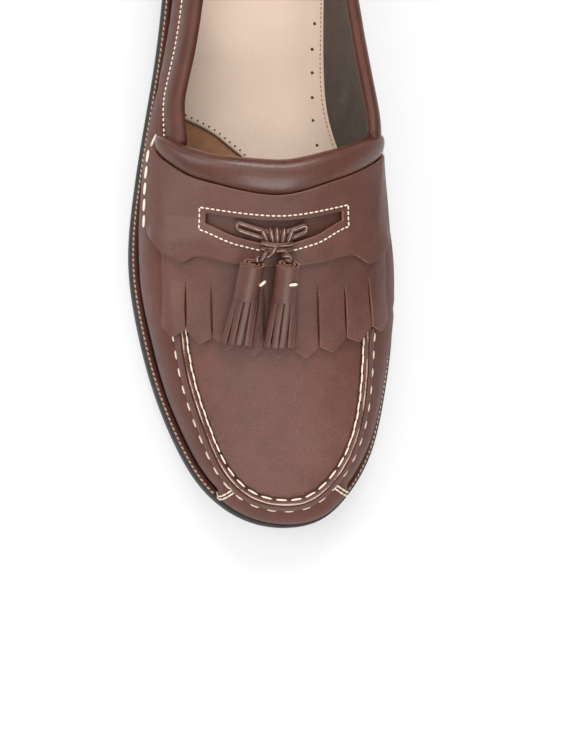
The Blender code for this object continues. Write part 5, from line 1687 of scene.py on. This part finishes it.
class LOAFER_OT_bow(bpy.types.Operator):
    """Ties the lace bow in the window: two loops, the wraps, the knot and the ends to the tassels"""

    bl_idname = "loafer.bow"
    bl_label = "Bow"

    def execute(self, context):
        last = current_last()
        # Pale line along the top of each lace, partly its raw edge and partly a painted highlight
        marks = np.zeros(16)
        marks[[3, 4, 5]] = [0.2, 0.86, 0.2]
        centre = self.place(last, np.array([[0.0, 0.0, 0.0]]))[0]
        lifted = self.place(last, np.array([[0.0, 0.0, 5.0]]))[0]
        off = unit(lifted - centre)
        loop_lace = oval(LACE_DIAMETER, LACE_DIAMETER * 0.94, 16)
        end_lace = oval(2.1 * MM, 1.7 * MM, 16)
        wrap_lace = oval(LACE_DIAMETER * 0.96, 1.7 * MM, 16)
        for loop in BOW_LOOPS:
            path = self.place(last, self.loop_line(loop))
            form = swept(path, np.tile(off, (len(path), 1)), loop_lace, marks=marks)
            piece = make_piece(loop.name, form, ["lace cowhide"], ["bow"])
        forms = []
        for points in LACE_ENDS:
            centre_line = self.place(last, path_through(points, 8))
            turn = np.linspace(0, 2.6 * math.pi, len(centre_line))
            ahead = unit(np.gradient(centre_line, axis=0))
            side = unit(np.cross(ahead, off))
            up = np.cross(side, ahead)
            for phase in (0.0, math.pi):
                swing = side * np.cos(turn + phase)[:, None] + up * np.sin(turn + phase)[:, None]
                path = centre_line + swing * 0.00095
                forms.append(swept(path, np.tile(off, (len(path), 1)), end_lace, marks=marks))
        angles = np.linspace(0, 2 * math.pi, 40, endpoint=False)
        for k, place in enumerate(WRAP_PLACES):
            ring = np.column_stack([
                place * (1 - 0.26 * np.cos(angles)) + 0.14 * math.sin(k * 2.1),
                -1.2 + (2.9 - 0.025 * place**2) * np.cos(angles),
                3.9 + (2.0 - 0.03 * place**2) * np.sin(angles),
            ])
            path = self.place(last, ring)
            out = unit(path - path.mean(0))
            forms.append(swept(path, out, wrap_lace, closed=True, marks=marks))
        for place in KNOT_PLACES:
            dip = 0.5 * np.cos(angles) ** 2
            ring = np.column_stack([-0.3 + 5.4 * np.cos(angles), place - dip, 6.3 + np.sin(angles) - dip])
            path = self.place(last, ring)
            out = unit(path - path.mean(0) + off * 0.002 * np.sign(np.sin(angles))[:, None])
            forms.append(swept(path, out, wrap_lace, closed=True, marks=marks))
        forms.append(self.core(last))
        form = join_all(forms)
        make_piece("bow_knot", form, ["lace cowhide"], ["bow"])
        return {"FINISHED"}

    def loop_line(self, loop):
        """Lace that runs out and back beside itself: two runs and a round end, climbing away from the toe."""
        half = LACE_DIAMETER / MM * 0.56
        turn = np.linspace(-math.pi / 2, math.pi / 2, 17)
        run = np.linspace(LOOP_ROOT, loop.reach - half, 14)[:-1]
        x = np.concatenate([run, loop.reach - half + half * np.cos(turn), run[::-1]])
        y = np.concatenate([np.full(13, -half), half * np.sin(turn), np.full(13, half)])
        share = np.clip(x / loop.reach, 0, 1)
        return np.column_stack([loop.side * x, y - 1.25 - loop.climb * share**1.3, 3.8 - 1.2 * share**1.5])

    def place(self, last, points):
        """Points of the bow, in millimetres from its centre, as places on the shoe."""
        y = last.y(BOW_ALONG) - points[:, 1] * MM
        return last.lay(y, BOW_ACROSS * last.ball + points[:, 0] * MM, points[:, 2] * MM)

    def core(self, last):
        """Lace wound inside the wraps, which shows only between them."""
        form = bmesh.new()
        bmesh.ops.create_uvsphere(form, u_segments=24, v_segments=14, radius=1.0)
        spots = np.array([vert.co[:] for vert in form.verts])
        spots = np.column_stack([spots[:, 2] * 6.2, -1.5 + 3.0 * spots[:, 0], 3.5 + 1.9 * spots[:, 1]])
        for vert, point in zip(form.verts, self.place(last, spots)):
            vert.co = point
        form.verts.layers.float.new("mark")
        return form


class LOAFER_OT_tassels(bpy.types.Operator):
    """Rolls the two tassels and cuts their fringes"""

    bl_idname = "loafer.tassels"
    bl_label = "Tassels"

    def execute(self, context):
        last = current_last()
        for tassel in TASSELS:
            start = tassel.top
            end = tassel.tip
            top = last.lay(last.y(start.along), start.across * last.ball, start.lift)
            tip = last.lay(last.y(end.along), end.across * last.ball, end.lift)
            size = np.linalg.norm(tip - top)
            way = (tip - top) / size
            y = last.y((start.along + end.along) / 2)
            x = (start.across + end.across) / 2 * last.ball
            off = last.lay(y, x, 0.01) - last.lay(y, x, 0.0)
            side = unit(np.cross(off, way))
            off = np.cross(way, side)
            self.head(tassel, top, way, side, off, size)
            self.strips(tassel.name, top, way, side, off, size)
        return {"FINISHED"}

    def head(self, tassel, top, way, side, off, size):
        """Strip of leather rolled up on itself, so that its end shows a spiral."""
        turns = np.linspace(0, 1, 90)
        angle = turns * 2.35 * 2 * math.pi + 0.6
        radius = (1.0 + 3.85 * turns) * MM
        downs = np.concatenate([[0.0], np.linspace(0.01, 1.0, 16)]) * HEAD_SHARE * size
        swell = 1 + 0.03 * np.sin(np.linspace(0, math.pi, len(downs)))
        circle = side[None, :] * np.cos(angle)[:, None] + off[None, :] * np.sin(angle)[:, None]
        wide = radius[None, :] * swell[:, None]
        points = top + way * downs[:, None, None] + circle[None] * wide[..., None]
        form = sheet(points)
        finishes = ["oiled cowhide", "cut edge"]
        piece = make_piece(f"{tassel.name}_head", form, finishes, [tassel.name])
        thicken(piece, 1.05 * MM, 0, rim=1)
        soften(piece, 0.00022)
        stitch = bmesh.new()
        face = off * math.cos(tassel.tack_turn) + side * math.sin(tassel.tack_turn)
        centre = top + way * size * HEAD_SHARE * 0.45 + face * (TASSEL_HEAD_RADIUS + 0.0001)
        run = sum(share * axis for share, axis in zip(tassel.tack_run, (side, way, off)))
        path = centre + np.linspace(-0.5, 0.5, 8)[:, None] * unit(run) * 4.2 * MM
        stitches(stitch, path, np.tile(face, (8, 1)), 4.2 * MM, 3.4 * MM, 1.25 * MM, sink=0.3)
        make_piece(f"{tassel.name}_tack", stitch, ["waxed thread"])

    def strips(self, name, top, way, side, off, size):
        """Two rings of strips that hang from the head: how many, how wide, how far turned and how long."""
        forms = []
        layers = ((11, 1.0, 0.0, 0.98), (8, 0.58, 0.35, 0.93))
        for count, spread, phase, reach in layers:
            for k in range(count):
                angle = 2 * math.pi * (k + 0.5 + phase) / count
                end = reach - 0.022 * ((k * 7) % 4) / 3
                shares = np.linspace(STRIP_ROOT, end, 18)
                t = (shares - STRIP_ROOT) / (1 - STRIP_ROOT)
                wide = (4.5 + 1.5 * t**0.8) * spread * MM
                thick = (4.3 - 2.3 * t**0.9) * spread * MM
                drift = 0.35 * MM * math.sin(k * 2.7) * t**2
                out = (thick * math.sin(angle))[:, None]
                round_about = (wide * math.cos(angle))[:, None]
                middle = top + way * (shares * size)[:, None]
                middle = middle + side * (round_about + drift[:, None]) + off * out
                turned = (thick * math.cos(angle))[:, None]
                tangent = unit(off * turned - side * (wide * math.sin(angle))[:, None])
                half = 2 * math.pi * spread * 4.6 / count / 2 * 0.93 * MM
                across = np.linspace(-1, 1, 5)
                face = unit(np.cross(way, tangent))
                outward = np.sign((face @ off) * math.sin(angle))[:, None, None]
                points = middle[:, None] + tangent[:, None] * (across * half)[None, :, None]
                points = points - face[:, None] * (across**2 * 0.16 * MM)[None, :, None] * outward
                forms.append(sheet(points))
        form = join_all(forms)
        piece = make_piece(f"{name}_fringe", form, ["oiled cowhide", "dyed edge"])
        thicken(piece, 0.95 * MM, 0, rim=1)


# Softboxes: place, the spot they face, size and power, in metres and watts
Softbox = namedtuple("Softbox", "name place aim size power")
SOFTBOXES = [
    Softbox("softbox above", (-0.15, 0.20, 1.5), (0.0, 0.0, 0.0), 2.0, 12.0),
    Softbox("softbox behind", (-0.05, 0.75, 1.0), (0.0, -0.03, 0.04), 0.6, 8.0),
    Softbox("softbox left", (-1.0, 0.0, 0.8), (0.0, -0.05, 0.04), 0.7, 4.5),
    Softbox("softbox front", (0.10, -1.1, 0.7), (0.0, -0.10, 0.03), 0.8, 9.0),
]

# Camera: the spot in the middle of the picture, its tilt to the lateral side and to the toe in degrees, its
# distance in metres, and the picture's scale
CAMERA_AIM = (0.00618, -0.0858, 0.030)
CAMERA_TILTS = (8.5, 5.0)
CAMERA_DISTANCE = 0.820
PIXELS_PER_MM = 2.45
PICTURE_HEIGHT = 735


class LOAFER_OT_stage(bpy.types.Operator):
    """Sets the white floor, the soft studio light and the camera"""

    bl_idname = "loafer.stage"
    bl_label = "Stage"

    def execute(self, context):
        scene = context.scene
        form = bmesh.new()
        bmesh.ops.create_grid(form, x_segments=2, y_segments=2, size=3.0)
        mesh = bpy.data.meshes.new("floor")
        form.to_mesh(mesh)
        form.free()
        floor = bpy.data.objects.new("floor", mesh)
        scene.collection.objects.link(floor)
        _, shader, _ = new_finish("white paper")
        shader.inputs["Base Color"].default_value = (0.44, 0.44, 0.44, 1.0)
        shader.inputs["Emission Color"].default_value = (1.0, 1.0, 1.0, 1.0)
        shader.inputs["Emission Strength"].default_value = 0.46
        shader.inputs["Roughness"].default_value = 0.9
        shader.inputs["Specular IOR Level"].default_value = 0.1
        mesh.materials.append(bpy.data.materials["white paper"])

        world = bpy.data.worlds.new("studio")
        scene.world = world
        world.use_nodes = True
        background = world.node_tree.nodes["Background"]
        background.inputs["Color"].default_value = (1.0, 1.0, 1.0, 1.0)
        background.inputs["Strength"].default_value = 0.36
        for row in SOFTBOXES:
            self.softbox(row)
        self.camera(scene)
        scene.view_settings.view_transform = "Standard"
        return {"FINISHED"}

    def softbox(self, row):
        """A square light that faces its spot."""
        light = bpy.data.lights.new(row.name, "AREA")
        light.shape = "SQUARE"
        light.size = row.size
        light.energy = row.power
        item = bpy.data.objects.new(row.name, light)
        item.location = row.place
        item.rotation_euler = (Vector(row.place) - Vector(row.aim)).to_track_quat("Z", "Y").to_euler()
        bpy.context.scene.collection.objects.link(item)

    def camera(self, scene):
        """Looks down at the shoe from just in front of the toe and a little to the lateral side."""
        lateral, forward = (math.tan(math.radians(tilt)) for tilt in CAMERA_TILTS)
        back = Vector((-lateral, -forward, 1.0)).normalized()
        right = Vector((0, 1, 0)).cross(back).normalized()
        up = back.cross(right)
        data = bpy.data.cameras.new("camera")
        data.sensor_width = 36.0
        data.lens = PIXELS_PER_MM * CAMERA_DISTANCE * 1000 / PICTURE_HEIGHT * data.sensor_width
        data.clip_start = 0.05
        item = bpy.data.objects.new("camera", data)
        turn = Matrix((right, up, back)).transposed().to_4x4()
        item.matrix_world = Matrix.Translation(Vector(CAMERA_AIM) + back * CAMERA_DISTANCE) @ turn
        scene.collection.objects.link(item)
        scene.camera = item


class LOAFER_PT_panel(bpy.types.Panel):
    """Lists the pieces of the loafer"""

    bl_idname = "LOAFER_PT_panel"
    bl_label = "Loafer"
    bl_space_type = "VIEW_3D"
    bl_region_type = "UI"
    bl_category = "Loafer"

    def draw(self, context):
        for group in (context.scene.loafer_sizes, context.scene.loafer_colours):
            box = self.layout.box()
            for name in group.__annotations__:
                box.prop(group, name)
        for operator in OPERATORS:
            self.layout.operator(operator.bl_idname)


OPERATORS = [
    LOAFER_OT_stage,
    LOAFER_OT_finishes,
    LOAFER_OT_sole,
    LOAFER_OT_footbed,
    LOAFER_OT_upper,
    LOAFER_OT_moccasin_seam,
    LOAFER_OT_collar,
    LOAFER_OT_tongue,
    LOAFER_OT_saddle,
    LOAFER_OT_fringe,
    LOAFER_OT_bow,
    LOAFER_OT_tassels,
]
CLASSES = [LoaferSizes, LoaferColours, *OPERATORS, LOAFER_PT_panel]


def register():
    for item in CLASSES:
        bpy.utils.register_class(item)
    bpy.types.Scene.loafer_sizes = bpy.props.PointerProperty(type=LoaferSizes)
    bpy.types.Scene.loafer_colours = bpy.props.PointerProperty(type=LoaferColours)


def unregister():
    del bpy.types.Scene.loafer_colours
    del bpy.types.Scene.loafer_sizes
    for item in reversed(CLASSES):
        bpy.utils.unregister_class(item)


def main():
    register()
    bpy.ops.loafer.stage()
    bpy.ops.loafer.finishes()
    bpy.ops.loafer.sole()
    bpy.ops.loafer.footbed()
    bpy.ops.loafer.upper()
    bpy.ops.loafer.moccasin_seam()
    bpy.ops.loafer.collar()
    bpy.ops.loafer.tongue()
    bpy.ops.loafer.saddle()
    bpy.ops.loafer.fringe()
    bpy.ops.loafer.bow()
    bpy.ops.loafer.tassels()
    bpy.context.view_layer.update()


if __name__ == "__main__":
    main()
